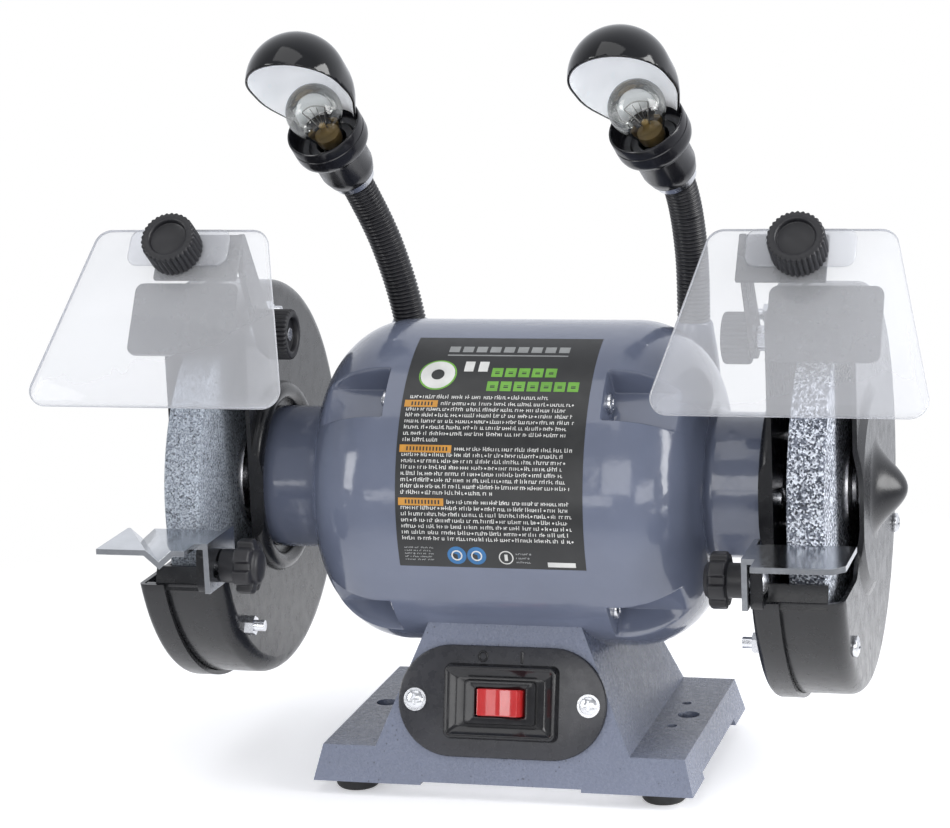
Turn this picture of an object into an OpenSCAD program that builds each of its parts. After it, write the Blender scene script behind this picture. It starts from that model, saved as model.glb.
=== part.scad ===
// Bench grinder with two lamps: 150 mm wheels on one motor shaft.
// Origin: on the bench under the middle of the shaft.  +X right, -Y front, +Z up.  Units: mm.

/* [Motor] */
// Height of the shaft above the bench
shaft_z = 132; // [130:0.5:136]
// Radius of the motor body
motor_r = 74; // [73:0.5:75]
// Half length of the round motor body, to the face of the end bell
bell_face = 90; // [89:0.5:92]
// Half length of the sheet-steel middle of the motor body
shell_half = 46; // [44:0.5:48]
// Radius of the neck that carries each wheel guard
neck_r = 33; // [32:0.5:34]

/* [Wheels] */
// Radius of a grinding wheel
wheel_r = 76; // [70:0.5:77]
// Thickness of a grinding wheel
wheel_w = 16; // [14:0.5:17]
// Distance from the middle of the grinder to the near face of a wheel
wheel_x = 132.5; // [132:0.5:133]

/* [Guards] */
// Distance from the middle to the motor-side face of a guard
guard_x = 118.7; // [118.7:0.1:119]
// Distance from the middle to the outer face of a guard
guard_end = 158; // [157.5:0.5:160]
// Outer radius of the guard band
guard_r = 92; // [91:0.5:93]
// Thickness of the guard sheet
sheet = 2; // [1.5:0.1:2]
// Forward distance of the guard's upright front edge from the shaft
chord = 40; // [38:0.5:41]
// Height of the lip at the front of the guard's lower half
lip_z = 102; // [100:0.5:103]

/* [Base] */
// Height of a rubber foot
foot_h = 6.8; // [6:0.2:8]
// Half length of the base at the bottom
base_half = 87.5; // [86:0.5:90]
// Height of the top of the mounting ears
ear_top = 22.8; // [22:0.2:24]
// Half spacing of the two bench bolts
bolt_half = 72.5; // [71:0.5:74]
// Diameter of a bench bolt hole
bolt_d = 10; // [8:0.5:11]

/* [Eye shields] */
// Width of a shield at its top edge
shield_top = 79; // [70:1:84]
// Width of a shield at its bottom edge
shield_bottom = 120; // [100:1:124]
// Length of a shield down its slope
shield_len = 87; // [70:1:88]
// Lean of a shield's face from level, in degrees
shield_lean = 52.7; // [50:0.1:56]

/* [Lamps] */
// Diameter of a gooseneck
neck_d = 15.5; // [14:0.5:16]
// Radius of a lamp hood
hood_r = 23.3; // [22:0.1:24]
// Radius of a bulb's globe
globe_r = 13.2; // [12:0.1:13.4]

/* [Hidden] */
$fn = 64;
eps = 0.01;
gap = 0.3;                       // clearance between parts that move past each other
steel = "Silver";
zinc = "LightSteelBlue";
black = [0.09, 0.09, 0.10];
paint = [0.42, 0.45, 0.53];
clear = [0.85, 0.9, 0.95, 0.35];

// --- motor
wall = 4;                        // thickness of the cast end bells
shell_t = 3.5;                   // thickness of the motor shell
bell_round = 38;                 // radius of the rounded shoulder of an end bell
pocket_x = 50;                   // where the tie-bolt pockets start
pocket_floor = 60;               // distance of a pocket's floor from the shaft
pocket_w = 20;                   // width of a pocket
tie_r = 65.5;                    // distance of the tie bolts from the shaft
bearing_x = 95;                  // near face of a bearing
bearing_w = 11;
bearing_or = 17.5;
bearing_ir = 7.5;
bell_bore = 11;                  // radius of the way out for the shaft
boss_x = 69;                     // lamp bosses on the end bells
boss_y = 55;
boss_top = 197;
boss_r = 9;

// --- shaft
shaft_r = 7.48;                  // in the bearings
arbor_r = 6.35;                  // under the wheels
shoulder_x = 127.5;              // shoulder that the inner flange rests on
arbor_end = 164;
flange_r = 25;
flange_t = 5;
nut_af = 19;                     // across flats
nut_h = 8;
wheel_end = wheel_x + wheel_w;

// --- guard
corner = 7;                      // rounded corner of a guard's deep half
rim_w = 12;                      // width of the rim of a guard's shallow half
guard_hole = 14;
mount_pcd = 24;                  // radius of the circle of guard mounting screws
through_r = 82;                  // distance of the guard's through screws from the shaft
dome_r = 23;
dome_h = 14;
raise_r = 48;                    // the cover's raised middle
raise_h = 2.5;
guard_depth = guard_end - guard_x;

// --- tool rests
rest_y = -88;                    // axis of the rest's clamp bolt
rest_bolt_z = 111.5;
rest_z = 125.5;                  // top of a rest
rest_t = 2.5;
leg_x = 118;                     // motor-side face of a rest's leg
ear_x = 120.7;                   // near face of the bracket that a rest is clamped to
rest_back = -80;
rest_front = -118;

// --- eye shields
pivot_y = -30;                   // axis of the clamp bolt that a shield arm swings on
pivot_z = 205;
arm_x = 111.5;                   // motor-side face of an arm
arm_t = 2.5;
stud_x = 139;                    // clamp stud of a shield
stud_y = -62.3;
stud_z = 246;
shield_t = 3;
pad_t = 1;                       // height of the raised pad under a shield's knob

// --- spark arrestors
arrestor_top = [-36, 228.5];     // y and z of the upper edge
arrestor_low = [-54, 199];       // y and z of the lower edge
arrestor_x = 121;
arrestor_w = 49.5;

// --- switch panel, on the sloping front of the base
panel_y = -58.9;
panel_z = 44;
panel_lean = 75;
rocker_tilt = 8;

// --- lamps: pivots of the goosenecks from the boss upwards, and the lean of each head
left_neck = [[-69, 55, 201], [-77, 50, 233], [-87, 38.5, 264.5]];
right_neck = [[69, 55, 201], [69.5, 50, 232.5], [67, 38.5, 263.8]];
left_lean = [41, -12.5];          // forward lean, then sideways lean
right_lean = [38.5, -17];
ball_r = 7.2;
socket_r = 7.5;
neck_gap = 3.4;                  // from a pivot to the end of a neck segment
rim_s = 36;                      // cup rim above the head's silver ring
globe_s = 46;                    // middle of the bulb's globe
hood_s = 66;                     // middle of the hood's round end
hood_t = 1.2;
hood_cut = 14;                   // slope of the hood's mouth, in degrees from its axis
hood_roll = -11;                 // how far the hood is turned about the lamp's axis

// ---------------------------------------------------------------- helpers

// Places a shape drawn round the Z axis on the shaft, with its Z pointing right.
module on_shaft() {
    translate([0, 0, shaft_z]) rotate([0, 90, 0]) children();
}

// A rod along X, from x0 to x1, at height z and depth y.
module rod_x(r, x0, x1, y = 0, z = shaft_z) {
    translate([x0, y, z]) rotate([0, 90, 0]) cylinder(r = r, h = x1 - x0);
}

// Extrudes an outline drawn in Y and Z along X, from x0 to x1.
module plate_x(x0, x1) {
    translate([x0, 0, 0]) rotate([90, 0, 90]) linear_extrude(x1 - x0) children();
}

// The right side as it is, or the left side as its mirror image.
module on_side(side) {
    mirror([side < 0 ? 1 : 0, 0, 0]) children();
}

// A rectangle with round corners, centred on the origin.
module round_rect(w, h, r) {
    square([w - 2 * r, h], center = true);
    square([w, h - 2 * r], center = true);
    for (x = [-1, 1], y = [-1, 1])
        translate([x * (w / 2 - r), y * (h / 2 - r)]) circle(r);
}

// A screw head with a cross recess, and its shank below; the head's underside is at z = 0.
module cross_screw(head_r, head_h, shank_r, len) {
    difference() {
        intersection() {
            cylinder(r = head_r, h = head_h);
            translate([0, 0, head_h - 2 * head_r]) sphere(2 * head_r);
        }
        for (a = [0, 90])
            rotate(a) translate([-head_r * 0.6, -0.5, head_h * 0.5]) cube([head_r * 1.2, 1, head_h]);
    }
    translate([0, 0, -len]) cylinder(r = shank_r, h = len + eps);
}

// A hexagon nut with a hole, standing on z = 0.
module hex_nut(af, h, hole_r) {
    difference() {
        cylinder(d = af / cos(30), h = h, $fn = 6);
        translate([0, 0, -1]) cylinder(r = hole_r, h = h + 2);
    }
}

// A round knob with a fluted rim and a sunk face, along +Z from z = 0.
module fluted_knob(r, h, bore_r, bore_len) {
    flutes = 32;
    difference() {
        cylinder(r = r, h = h);
        for (i = [0:flutes - 1])
            rotate(i * 360 / flutes) translate([r + 0.35, 0, -1]) cylinder(r = 0.85, h = h + 2, $fn = 16);
        translate([0, 0, h - 2.5]) cylinder(r = r * 0.66, h = 3);
        translate([0, 0, -1]) cylinder(r = bore_r, h = bore_len + 1);
    }
}

// A star knob on a round stem, along +Z from z = 0.
module star_knob(stem_r, stem_h, r, h, bore_r, bore_len) {
    lobes = 7;
    difference() {
        union() {
            cylinder(r = stem_r, h = stem_h + eps);
            translate([0, 0, stem_h]) linear_extrude(h) {
                circle(r - 2.6);
                for (i = [0:lobes - 1]) rotate(i * 360 / lobes) translate([r - 3.4, 0]) circle(3.4, $fn = 32);
            }
            translate([0, 0, stem_h + h - 1.5 * r]) intersection() {
                sphere(1.7 * r);
                translate([0, 0, 1.5 * r - eps]) cylinder(r = r * 0.62, h = r);
            }
        }
        translate([0, 0, -1]) cylinder(r = bore_r, h = bore_len + 1);
    }
}

// ---------------------------------------------------------------- base

base_y0 = -68.8;                 // front of the base at its bottom
base_y1 = 62;                    // back of the base at its bottom
saddle_z = 80;                   // top of the base's two saddle horns
slope_x = 0.425;                 // how far each side leans in, per mm of height
slope_y = 0.268;                 // the same for the front and the back

// The sloping middle of the base, drawn thinner by t on every side.
module pedestal(t) {
    rise = saddle_z - foot_h;
    half = 65.4 - t;
    hull() {
        translate([-half, base_y0 + t, foot_h]) cube([2 * half, base_y1 - base_y0 - 2 * t, eps]);
        translate([-half + slope_x * rise, base_y0 + t + slope_y * rise, saddle_z - eps])
            cube([2 * (half - slope_x * rise), base_y1 - base_y0 - 2 * (t + slope_y * rise), eps]);
    }
}

module ears() {
    rise = ear_top - foot_h;
    lean = 4.1;
    hull() {
        translate([-base_half, base_y0, foot_h]) cube([2 * base_half, base_y1 - base_y0, eps]);
        translate([-base_half + lean, base_y0 + slope_y * rise, ear_top - eps])
            cube([2 * (base_half - lean), base_y1 - base_y0 - 2 * slope_y * rise, eps]);
    }
}

foot_x = 71.3;
foot_y = [-52.7, 46];
base_t = 5;

module ear_hollow() {
    difference() {
        translate([61, base_y0 + 11, foot_h - 1]) cube([17, base_y1 - base_y0 - 22, 9]);
        for (y = foot_y) translate([foot_x, y, 0]) cylinder(r = 9, h = 30);
        translate([bolt_half, 0, 0]) cylinder(r = 9, h = 30);
    }
}

module base_casting() {
    color(paint) difference() {
        union() {
            pedestal(0);
            ears();
        }
        difference() {
            translate([0, 0, -eps]) pedestal(base_t);
            rod_x(motor_r + base_t, -100, 100);
        }
        rod_x(motor_r, -100, 100);
        for (s = [-1, 1]) {
            on_side(s) ear_hollow();
            translate([s * bolt_half, 0, 0]) cylinder(d = bolt_d, h = 40);
            for (y = foot_y) translate([s * foot_x, y, 0]) cylinder(r = 2.5, h = 18);
            // shallow relief under each ear, so that the base stands on its feet's pads
            on_side(s) translate([76, -42, foot_h - 1]) cube([20, 78, 4]);
            translate([s * 26, 0, 40]) cylinder(r = 3.3, h = 30);
        }
        // two small holes beside the right-hand bench bolt
        for (y = [-17.2, 17.2]) translate([68.2, y, 0]) cylinder(r = 2.25, h = 40);
        translate([-37, base_y0 - 5, foot_h - 1]) cube([74, 20, 2.4]);
        at_panel() {
            translate([-15, -8.5, -12]) cube([30, 17, 20]);
            for (s = [-1, 1]) translate([s * 40, 0, -12]) cylinder(r = 2.1, h = 20);
        }
        translate([0, base_y1 + 5, 30]) rotate([90, 0, 0]) cylinder(r = 7, h = 30);
        cover_rebate();
    }
}

module cover_rebate() {
    translate([-61, base_y0 + 4, foot_h - 1]) cube([122, base_y1 - base_y0 - 8, 2.5]);
}

module base_cover_plate() {
    color(steel) difference() {
        translate([-60.6, base_y0 + 9, foot_h]) cube([121.2, base_y1 - base_y0 - 18, 1.5]);
        for (x = [-12, 0, 12]) translate([x, 0, 0]) round_slot(5, 40);
    }
}

// A vent slot through the cover plate, w wide and l long.
module round_slot(w, l) {
    linear_extrude(20) round_rect(w, l, w / 2 - eps);
}

module rubber_feet() {
    color(black) for (s = [-1, 1], y = foot_y) translate([s * foot_x, y, 0]) difference() {
        union() {
            cylinder(r1 = 8.6, r2 = 10, h = 1.5);
            translate([0, 0, 1.5]) cylinder(r = 10, h = foot_h - 1.5);
        }
        translate([0, 0, -1]) cylinder(r = 4.4, h = 4.2);
        cylinder(r = 2.5, h = 20);
    }
}

module feet_screws() {
    color(steel) for (s = [-1, 1], y = foot_y) translate([s * foot_x, y, 3.2])
        mirror([0, 0, 1]) cross_screw(4.2, 2.2, 2.45, 13);
}

module base_bolts() {
    color(steel) for (s = [-1, 1]) translate([s * 26, 0, 0]) {
        translate([0, 0, 49]) cylinder(d = 10 / cos(30), h = 4 - eps, $fn = 6);
        translate([0, 0, 53]) cylinder(r = 3, h = 7);
    }
}

// ---------------------------------------------------------------- switch

module at_panel() {
    translate([0, panel_y, panel_z]) rotate([panel_lean, 0, 0]) children();
}

module switch_plate() {
    color(black) at_panel() difference() {
        union() {
            linear_extrude(1.8) round_rect(96, 50, 24.9);
            linear_extrude(6.5) round_rect(52, 33, 3);
        }
        translate([0, 0, 3.5]) linear_extrude(10) round_rect(40, 22, 2);
        translate([-15, -8.5, -1]) cube([30, 17, 20]);
        for (s = [-1, 1]) translate([s * 40, 0, -1]) cylinder(r = 2.3, h = 10);
    }
}

rocker_w = 22;
rocker_d = 12;
rocker_pivot = 1.5;              // height of the rocker's axis above the sloping face

module switch_body() {
    color(black) at_panel() difference() {
        union() {
            translate([-14.8, -8.3, -16]) cube([29.6, 16.6, 20.5]);
            translate([0, 0, 3.5 + eps]) linear_extrude(2) round_rect(32, 19, 1.5);
        }
        translate([0, 0, -5.5]) linear_extrude(20)
            square([rocker_w + 2 * gap, rocker_d + 2 * gap], center = true);
        translate([0, 0, rocker_pivot]) rotate([90, 0, 0])
            cylinder(r = 1.25, h = rocker_d + 4, center = true);
    }
    color(zinc) at_panel() for (x = [-9, 0, 9])
        translate([x - 0.4, -2.4, -22]) cube([0.8, 4.8, 6.5]);
}

// A rocker with two sloping faces, swung so that its left end is pressed.
module switch_rocker() {
    color("red") at_panel() translate([0, 0, rocker_pivot]) rotate([90, -rocker_tilt, 0]) {
        linear_extrude(rocker_d, center = true) intersection() {
            circle(rocker_w / 2);
            polygon([[-12, -4], [12, -4], [12, 5.8], [0, 3.9], [-12, 5.8]]);
        }
        cylinder(r = 1.2, h = rocker_d + 3.6, center = true);
    }
}

module switch_screws() {
    color(steel) at_panel() for (s = [-1, 1]) translate([s * 40, 0, 1.8]) {
        cross_screw(4, 2.4, 2, 9);
        difference() {
            cylinder(r = 5.2, h = 0.8);
            translate([0, 0, -1]) cylinder(r = 2, h = 3);
        }
    }
}

module cord_gland() {
    color(black) translate([0, 59, 30]) rotate([-90, 0, 0]) difference() {
        union() {
            translate([0, 0, -10]) cylinder(r = 6.9, h = 11);
            cylinder(r = 10, h = 3.5);
            translate([0, 0, 3.5]) cylinder(r1 = 8, r2 = 6.5, h = 6);
        }
        translate([0, 0, -11]) cylinder(r = 4.2, h = 30);
    }
}

module run_capacitor() {
    color("Gainsboro") translate([-32, 18, 24]) rotate([0, 90, 0]) {
        cylinder(r = 13, h = 56);
        for (y = [-5, 5]) translate([0, y, 55]) cylinder(r = 1.5, h = 8);
    }
}

// ---------------------------------------------------------------- motor

module motor_shell() {
    color(paint) difference() {
        rod_x(motor_r, -shell_half, shell_half);
        rod_x(motor_r - shell_t, -shell_half - 1, shell_half + 1);
        for (s = [-1, 1]) translate([s * 26, 0, 50]) cylinder(r = 3, h = 15);
    }
}

// Outline of an end bell by radius and distance from the middle; t shrinks it to the hollow inside.
module bell_outline(t) {
    square([motor_r - bell_round, bell_face - t]);
    square([motor_r - t, bell_face - bell_round]);
    translate([motor_r - bell_round, bell_face - bell_round]) circle(bell_round - t, $fn = 96);
}

// The four tie-bolt pockets of an end bell, grown by t; the one below the lamp boss is short.
module pockets(t) {
    for (a = [45:90:315]) {
        len = a == 315 ? boss_x - boss_r - 2 - pocket_x : motor_r;
        rotate([a, 0, 0]) translate([pocket_x - t, -pocket_w / 2 - t, pocket_floor - t])
            cube([len + 2 * t, pocket_w + 2 * t, 40]);
    }
}

module end_bell(pivot) {
    difference() {
        union() {
            on_shaft() rotate_extrude() intersection() {
                bell_outline(0);
                translate([0, shell_half]) square([100, 100]);
            }
            rod_x(neck_r, bell_face - 6, guard_x);
            lamp_boss();
        }
        difference() {
            on_shaft() rotate_extrude() bell_outline(wall);
            translate([0, 0, shaft_z]) pockets(wall);
            rod_x(bearing_or + 6.5, bell_face - 6, guard_x);
        }
        translate([0, 0, shaft_z]) pockets(0);
        rod_x(bearing_or, bell_face - 20, bearing_x + bearing_w);
        rod_x(bell_bore, bell_face - 30, guard_x + 1);
        for (a = [45:90:315]) translate([0, 0, shaft_z]) rotate([a, 0, 0])
            rod_x(2.7, 40, 56, 0, tie_r);
        for (a = [90, 210, 330]) translate([0, 0, shaft_z]) rotate([a, 0, 0])
            rod_x(2.5, guard_x - 12, guard_x + 1, 0, mount_pcd);
    }
    neck_ball(pivot);
}

module lamp_boss() {
    translate([boss_x, boss_y, 150]) cylinder(r = boss_r + 1, h = boss_top - 160);
    translate([boss_x, boss_y, boss_top - 10]) cylinder(r1 = boss_r + 1, r2 = boss_r, h = 10);
}

// The fixed ball that the lowest segment of a gooseneck turns on.
module neck_ball(pivot) {
    translate(pivot) sphere(ball_r);
    translate([pivot[0], pivot[1], boss_top - 3]) cylinder(r = 5, h = pivot[2] - boss_top + 3);
}

module end_bell_left() {
    color(paint) on_side(-1) end_bell([-left_neck[0][0], left_neck[0][1], left_neck[0][2]]);
}

module end_bell_right() {
    color(paint) end_bell(right_neck[0]);
}

module tie_bolts() {
    color(steel) for (a = [45:90:315]) translate([0, 0, shaft_z]) rotate([a, 0, 0]) {
        rod_x(2.5, -pocket_x - 3, pocket_x + 3, 0, tie_r);
        translate([pocket_x, 0, tie_r]) rotate([0, 90, 0]) cross_screw(4.6, 3, 2.5, 1);
        translate([-pocket_x, 0, tie_r]) rotate([0, -90, 0]) cross_screw(4.6, 3, 2.5, 1);
    }
}

stator_half = 26;
rotor_r = 35;
air_gap = 0.5;

module stator_core() {
    slots = 24;
    color("DimGray") difference() {
        rod_x(motor_r - shell_t, -stator_half, stator_half);
        rod_x(rotor_r + air_gap, -40, 40);
        for (a = [45:90:315]) translate([0, 0, shaft_z]) rotate([a, 0, 0])
            rod_x(5.2, -40, 40, 0, tie_r + 1);
        for (i = [0:slots - 1]) translate([0, 0, shaft_z]) rotate([i * 360 / slots, 0, 0])
            translate([-40, -2, rotor_r + 2]) cube([80, 4, 14]);
    }
}

module stator_windings() {
    color("Peru") for (s = [-1, 1]) on_side(s) on_shaft() rotate_extrude()
        translate([46.5, stator_half + 9]) round_rect(16, 17.9, 4);
}

module rotor_core() {
    color("DarkGray") difference() {
        union() {
            rod_x(rotor_r, -stator_half - 2, stator_half + 2);
            for (s = [-1, 1], i = [0:7]) translate([0, 0, shaft_z]) rotate([i * 45, 0, 0])
                translate([s * (stator_half + 5), 0, 28]) cube([7, 1.6, 8], center = true);
        }
        rod_x(9, -40, 40);
    }
}

module rotor_shaft() {
    color(steel) {
        rod_x(9, -80, 80);
        rod_x(shaft_r, -shoulder_x, shoulder_x);
        difference() {
            rod_x(arbor_r, -arbor_end, arbor_end);
            rod_x(arbor_r - 1, -arbor_end - 1, -arbor_end + 0.5);
        }
        for (s = [-1, 1]) on_side(s) rod_x(10, shoulder_x - 6, shoulder_x);
    }
}

module bearings() {
    color("Gainsboro") for (s = [-1, 1]) on_side(s) difference() {
        rod_x(bearing_or, bearing_x, bearing_x + bearing_w);
        rod_x(bearing_ir, bearing_x - 1, bearing_x + bearing_w + 1);
        difference() {
            rod_x(14.5, bearing_x - 1, bearing_x + 0.6);
            rod_x(10.5, bearing_x - 2, bearing_x + 2);
        }
    }
}

// ---------------------------------------------------------------- wheels

// One dished clamping flange, its rim towards -Z and its back at z = flange_t.
module flange() {
    difference() {
        union() {
            cylinder(r = flange_r, h = 3);
            cylinder(r = 14, h = flange_t);
        }
        translate([0, 0, -1]) cylinder(r = arbor_r, h = 10);
        difference() {
            translate([0, 0, -1]) cylinder(r = flange_r - 6, h = 2);
            cylinder(r = 9, h = 5);
        }
    }
}

module wheel_flanges() {
    color(steel) for (s = [-1, 1]) on_side(s) {
        translate([wheel_end, 0, 0]) on_shaft() flange();
        translate([wheel_x, 0, 0]) mirror([1, 0, 0]) on_shaft() flange();
    }
}

module spindle_nuts() {
    color(steel) for (s = [-1, 1]) on_side(s)
        translate([wheel_end + flange_t, 0, 0]) on_shaft() hex_nut(nut_af, nut_h, arbor_r);
}

module grinding_wheel() {
    edge = 0.6;
    on_shaft() translate([0, 0, wheel_x]) rotate_extrude($fn = 96) polygon([
        [arbor_r, 0], [wheel_r - edge, 0], [wheel_r, edge],
        [wheel_r, wheel_w - edge], [wheel_r - edge, wheel_w], [arbor_r, wheel_w]
    ]);
}

module wheel_left() { color("SlateGray") on_side(-1) grinding_wheel(); }
module wheel_right() { color("LightSlateGray") grinding_wheel(); }

// ---------------------------------------------------------------- guards

// Half section of a dish r wide and depth deep, its outer corner rounded by c.
module dish_outline(r, depth, c) {
    square([r - c, depth]);
    translate([0, c]) square([r, depth - c]);
    translate([r - c, c]) circle(c, $fn = 48);
}

// Half section of the cover's raised middle and dome, standing below z = 0.
module dome_outline(t) {
    steps = 14;
    polygon(concat(
        [[0, 10], [0, t - raise_h - dome_h]],
        [for (i = [1:steps]) let (r = i * (dome_r - t / 2) / steps)
            [r, t - raise_h - dome_h * (1 + cos(180 * i / steps)) / 2]],
        [[raise_r - 6 - t / 2, t - raise_h], [raise_r - t / 2, t], [raise_r, 10]]
    ));
}

// The opening at the guard's front, drawn in Y and Z.
module mouth() {
    r = 10;
    translate([-200, lip_z + r]) square([200 - chord, 200]);
    translate([-200, lip_z]) square([200 - chord - r, 200]);
    translate([-chord - r, lip_z + r]) circle(r);
}

// Holes for the guard's through screws, drawn in Y and Z.
through_at = [for (a = [223, 100, 335]) [through_r * cos(a), shaft_z + through_r * sin(a)]];

module through_holes(r) {
    for (p = through_at) rod_x(r, guard_x - 10, guard_end + 10, p[0], p[1]);
}

// The motor-side half of a guard: the deep half carries the band, the shallow one a rim over it.
module inner_guard(deep) {
    depth = deep ? guard_depth - 3 : rim_w;
    r = deep ? guard_r : guard_r + sheet + gap;
    difference() {
        union() {
            translate([guard_x, 0, 0]) on_shaft() rotate_extrude($fn = 128) difference() {
                dish_outline(r, depth, deep ? corner : 3);
                translate([0, sheet]) dish_outline(r - sheet, depth, deep ? corner - sheet : 1);
            }
            // pressed ridge round the neck
            translate([guard_x, 0, 0]) on_shaft() rotate_extrude()
                translate([40, 0]) difference() {
                    circle(4.5, $fn = 32);
                    translate([-10, 0]) square([20, 10]);
                }
        }
        plate_x(guard_x - 10, guard_end + 10) mouth();
        rod_x(guard_hole, guard_x - 10, guard_x + 10);
        for (a = [90, 210, 330]) translate([0, 0, shaft_z]) rotate([a, 0, 0])
            rod_x(2.7, guard_x - 1, guard_x + 10, 0, mount_pcd);
        rod_x(3.2, guard_x - 1, guard_x + 10, pivot_y, pivot_z);
        through_holes(2.7);
    }
    if (deep) front_flange();
}

// The outer half of a guard, in the same two forms.
module wheel_cover(deep) {
    depth = deep ? guard_depth - 3 : rim_w;
    r = deep ? guard_r : guard_r + sheet + gap;
    difference() {
        translate([guard_end, 0, 0]) mirror([1, 0, 0]) on_shaft() rotate_extrude($fn = 128) difference() {
            union() {
                dish_outline(r, depth, deep ? corner : 3);
                intersection() {
                    dome_outline(0);
                    translate([0, -50]) square([r, 51]);
                }
            }
            translate([0, sheet]) dish_outline(r - sheet, depth, deep ? corner - sheet : 1);
            dome_outline(sheet);
        }
        plate_x(guard_x - 10, guard_end + 30) mouth();
        through_holes(2.7);
    }
    if (deep) front_flange();
}

// The turned-up flange along the band's front end.
module front_flange() {
    y = -sqrt(pow(guard_r, 2) - pow(shaft_z - lip_z, 2));
    plate_x(guard_x + corner, guard_end - corner) polygon([
        [y, lip_z - 3], [y + sheet, lip_z - 3], [y + sheet + 4, lip_z + 7], [y + 4, lip_z + 7]
    ]);
}

module inner_guard_left() { color(black) on_side(-1) inner_guard(true); }
module inner_guard_right() { color(black) inner_guard(false); }
module wheel_cover_left() { color(black) on_side(-1) wheel_cover(false); }
module wheel_cover_right() { color(black) wheel_cover(true); }

module guard_mount_screws() {
    color(steel) for (s = [-1, 1]) on_side(s)
        for (a = [90, 210, 330]) translate([0, 0, shaft_z]) rotate([a, 0, 0])
            translate([guard_x + sheet, 0, mount_pcd]) rotate([0, 90, 0]) cross_screw(4.6, 3, 2.45, 12);
}

module guard_through_screws() {
    color(zinc) for (s = [-1, 1]) on_side(s) for (p = through_at) {
        translate([guard_end, p[0], p[1]]) rotate([0, 90, 0]) cross_screw(4.6, 3, 2.5, guard_depth + 9);
        translate([guard_x - 4.5, p[0], p[1]]) rotate([0, 90, 0]) hex_nut(8, 4.5, 2.5);
    }
}

// ---------------------------------------------------------------- tool rests

module rest_bracket() {
    difference() {
        union() {
            plate_x(ear_x, ear_x + 2.5) {
                translate([rest_y + 1, rest_bolt_z]) round_rect(26, 22, 5);
                translate([-78, 75]) square([29, 30]);
            }
            // pressed rim round the ear
            plate_x(ear_x + 2.4, ear_x + 5) translate([rest_y + 1, rest_bolt_z]) difference() {
                round_rect(26, 22, 5);
                round_rect(20, 16, 3);
            }
        }
        rod_x(3.05, ear_x - 1, ear_x + 10, rest_y, rest_bolt_z);
        through_holes(2.7);
        difference() {
            rod_x(200, ear_x - 1, ear_x + 10);
            rod_x(guard_r - corner, ear_x - 2, ear_x + 11);
            translate([ear_x - 2, -110, lip_z + 0.1]) cube([13, 50, 40]);
        }
    }
}

module rest_bracket_left() { color(black) on_side(-1) rest_bracket(); }
module rest_bracket_right() { color(black) rest_bracket(); }

module rest_bolts() {
    color(zinc) for (s = [-1, 1]) on_side(s) {
        rod_x(3, leg_x - 16, ear_x + 2.5 + eps, rest_y, rest_bolt_z);
        translate([ear_x + 2.5, rest_y, rest_bolt_z]) rotate([0, 90, 0]) intersection() {
            cylinder(r = 7, h = 3.6);
            translate([0, 0, -5.5]) sphere(9);
        }
    }
}

// The upright leg of a rest, with the slot that its clamp bolt passes through.
module rest_leg() {
    difference() {
        plate_x(leg_x, leg_x + rest_t - 0.1) translate([-105, 103]) square([34, rest_z - 103]);
        plate_x(leg_x - 1, leg_x + 5) translate([rest_y, rest_bolt_z]) round_rect(24, 6.6, 3.29);
    }
}

module tool_rest_right() {
    w = 45;
    color(zinc) {
        rest_leg();
        translate([leg_x, -105, rest_z - rest_t]) cube([10, 24, rest_t]);
        translate([leg_x + 6, 0, rest_z - rest_t]) linear_extrude(rest_t) difference() {
            translate([0, rest_front]) square([w - 6, rest_back - rest_front]);
            translate([w - 6, rest_front]) rotate(45) square([8, 8], center = true);
        }
    }
}

// The left rest also has a groove across it that guides a drill bit to the wheel.
module tool_rest_left() {
    groove_turn = 60;
    color(zinc) on_side(-1) {
        rest_leg();
        translate([leg_x, -105, rest_z - rest_t]) cube([10, 24, rest_t]);
        difference() {
            translate([leg_x + 6, 0, rest_z - rest_t]) linear_extrude(rest_t)
                translate([0, rest_front]) square([41, rest_back - rest_front]);
            at_groove(groove_turn) rotate([45, 0, 0]) cube([80, 7, 7], center = true);
        }
        intersection() {
            at_groove(groove_turn) difference() {
                rotate([45, 0, 0]) cube([80, 7 + 2 * rest_t, 7 + 2 * rest_t], center = true);
                rotate([45, 0, 0]) cube([81, 7, 7], center = true);
            }
            translate([leg_x + 6, rest_front, rest_z - 12]) cube([41, rest_back - rest_front, 12]);
        }
    }
}

// The line of the drill groove, sunk in the left rest's top.
module at_groove(turn) {
    translate([leg_x + 29, -99, rest_z]) rotate(turn) children();
}

module rest_knob() {
    translate([leg_x - gap, rest_y, rest_bolt_z]) rotate([0, -90, 0])
        star_knob(7.5, 8, 12.3, 8, 3.05, 16.2);
}

module rest_knob_left() { color(black) on_side(-1) rest_knob(); }
module rest_knob_right() { color(black) rest_knob(); }

// ---------------------------------------------------------------- spark arrestors

module spark_arrestor() {
    down = arrestor_low - arrestor_top;
    len = norm(down);
    lean = atan2(-down[1], -down[0]);
    difference() {
        union() {
            translate([arrestor_x, arrestor_low[0], arrestor_low[1]]) rotate([lean, 0, 0])
                translate([arrestor_w / 2, len / 2, 0]) linear_extrude(2) round_rect(arrestor_w, len, 4);
            // side web, cut away where the guard's band would meet it
            difference() {
                plate_x(arrestor_x, arrestor_x + 2) hull() {
                    translate([pivot_y, pivot_z]) circle(8);
                    translate(arrestor_low * 0.25 + arrestor_top * 0.75 + [0.6, 0]) circle(1);
                    translate(arrestor_low + [1.2, 1]) circle(1);
                }
                difference() {
                    translate([arrestor_x - 1, -chord - 4, shaft_z]) cube([4, 60, 120]);
                    rod_x(guard_r - 9.5, arrestor_x - 2, arrestor_x + 4);
                }
            }
        }
        rod_x(3.05, arrestor_x - 1, arrestor_x + 5, pivot_y, pivot_z);
    }
}

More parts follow.
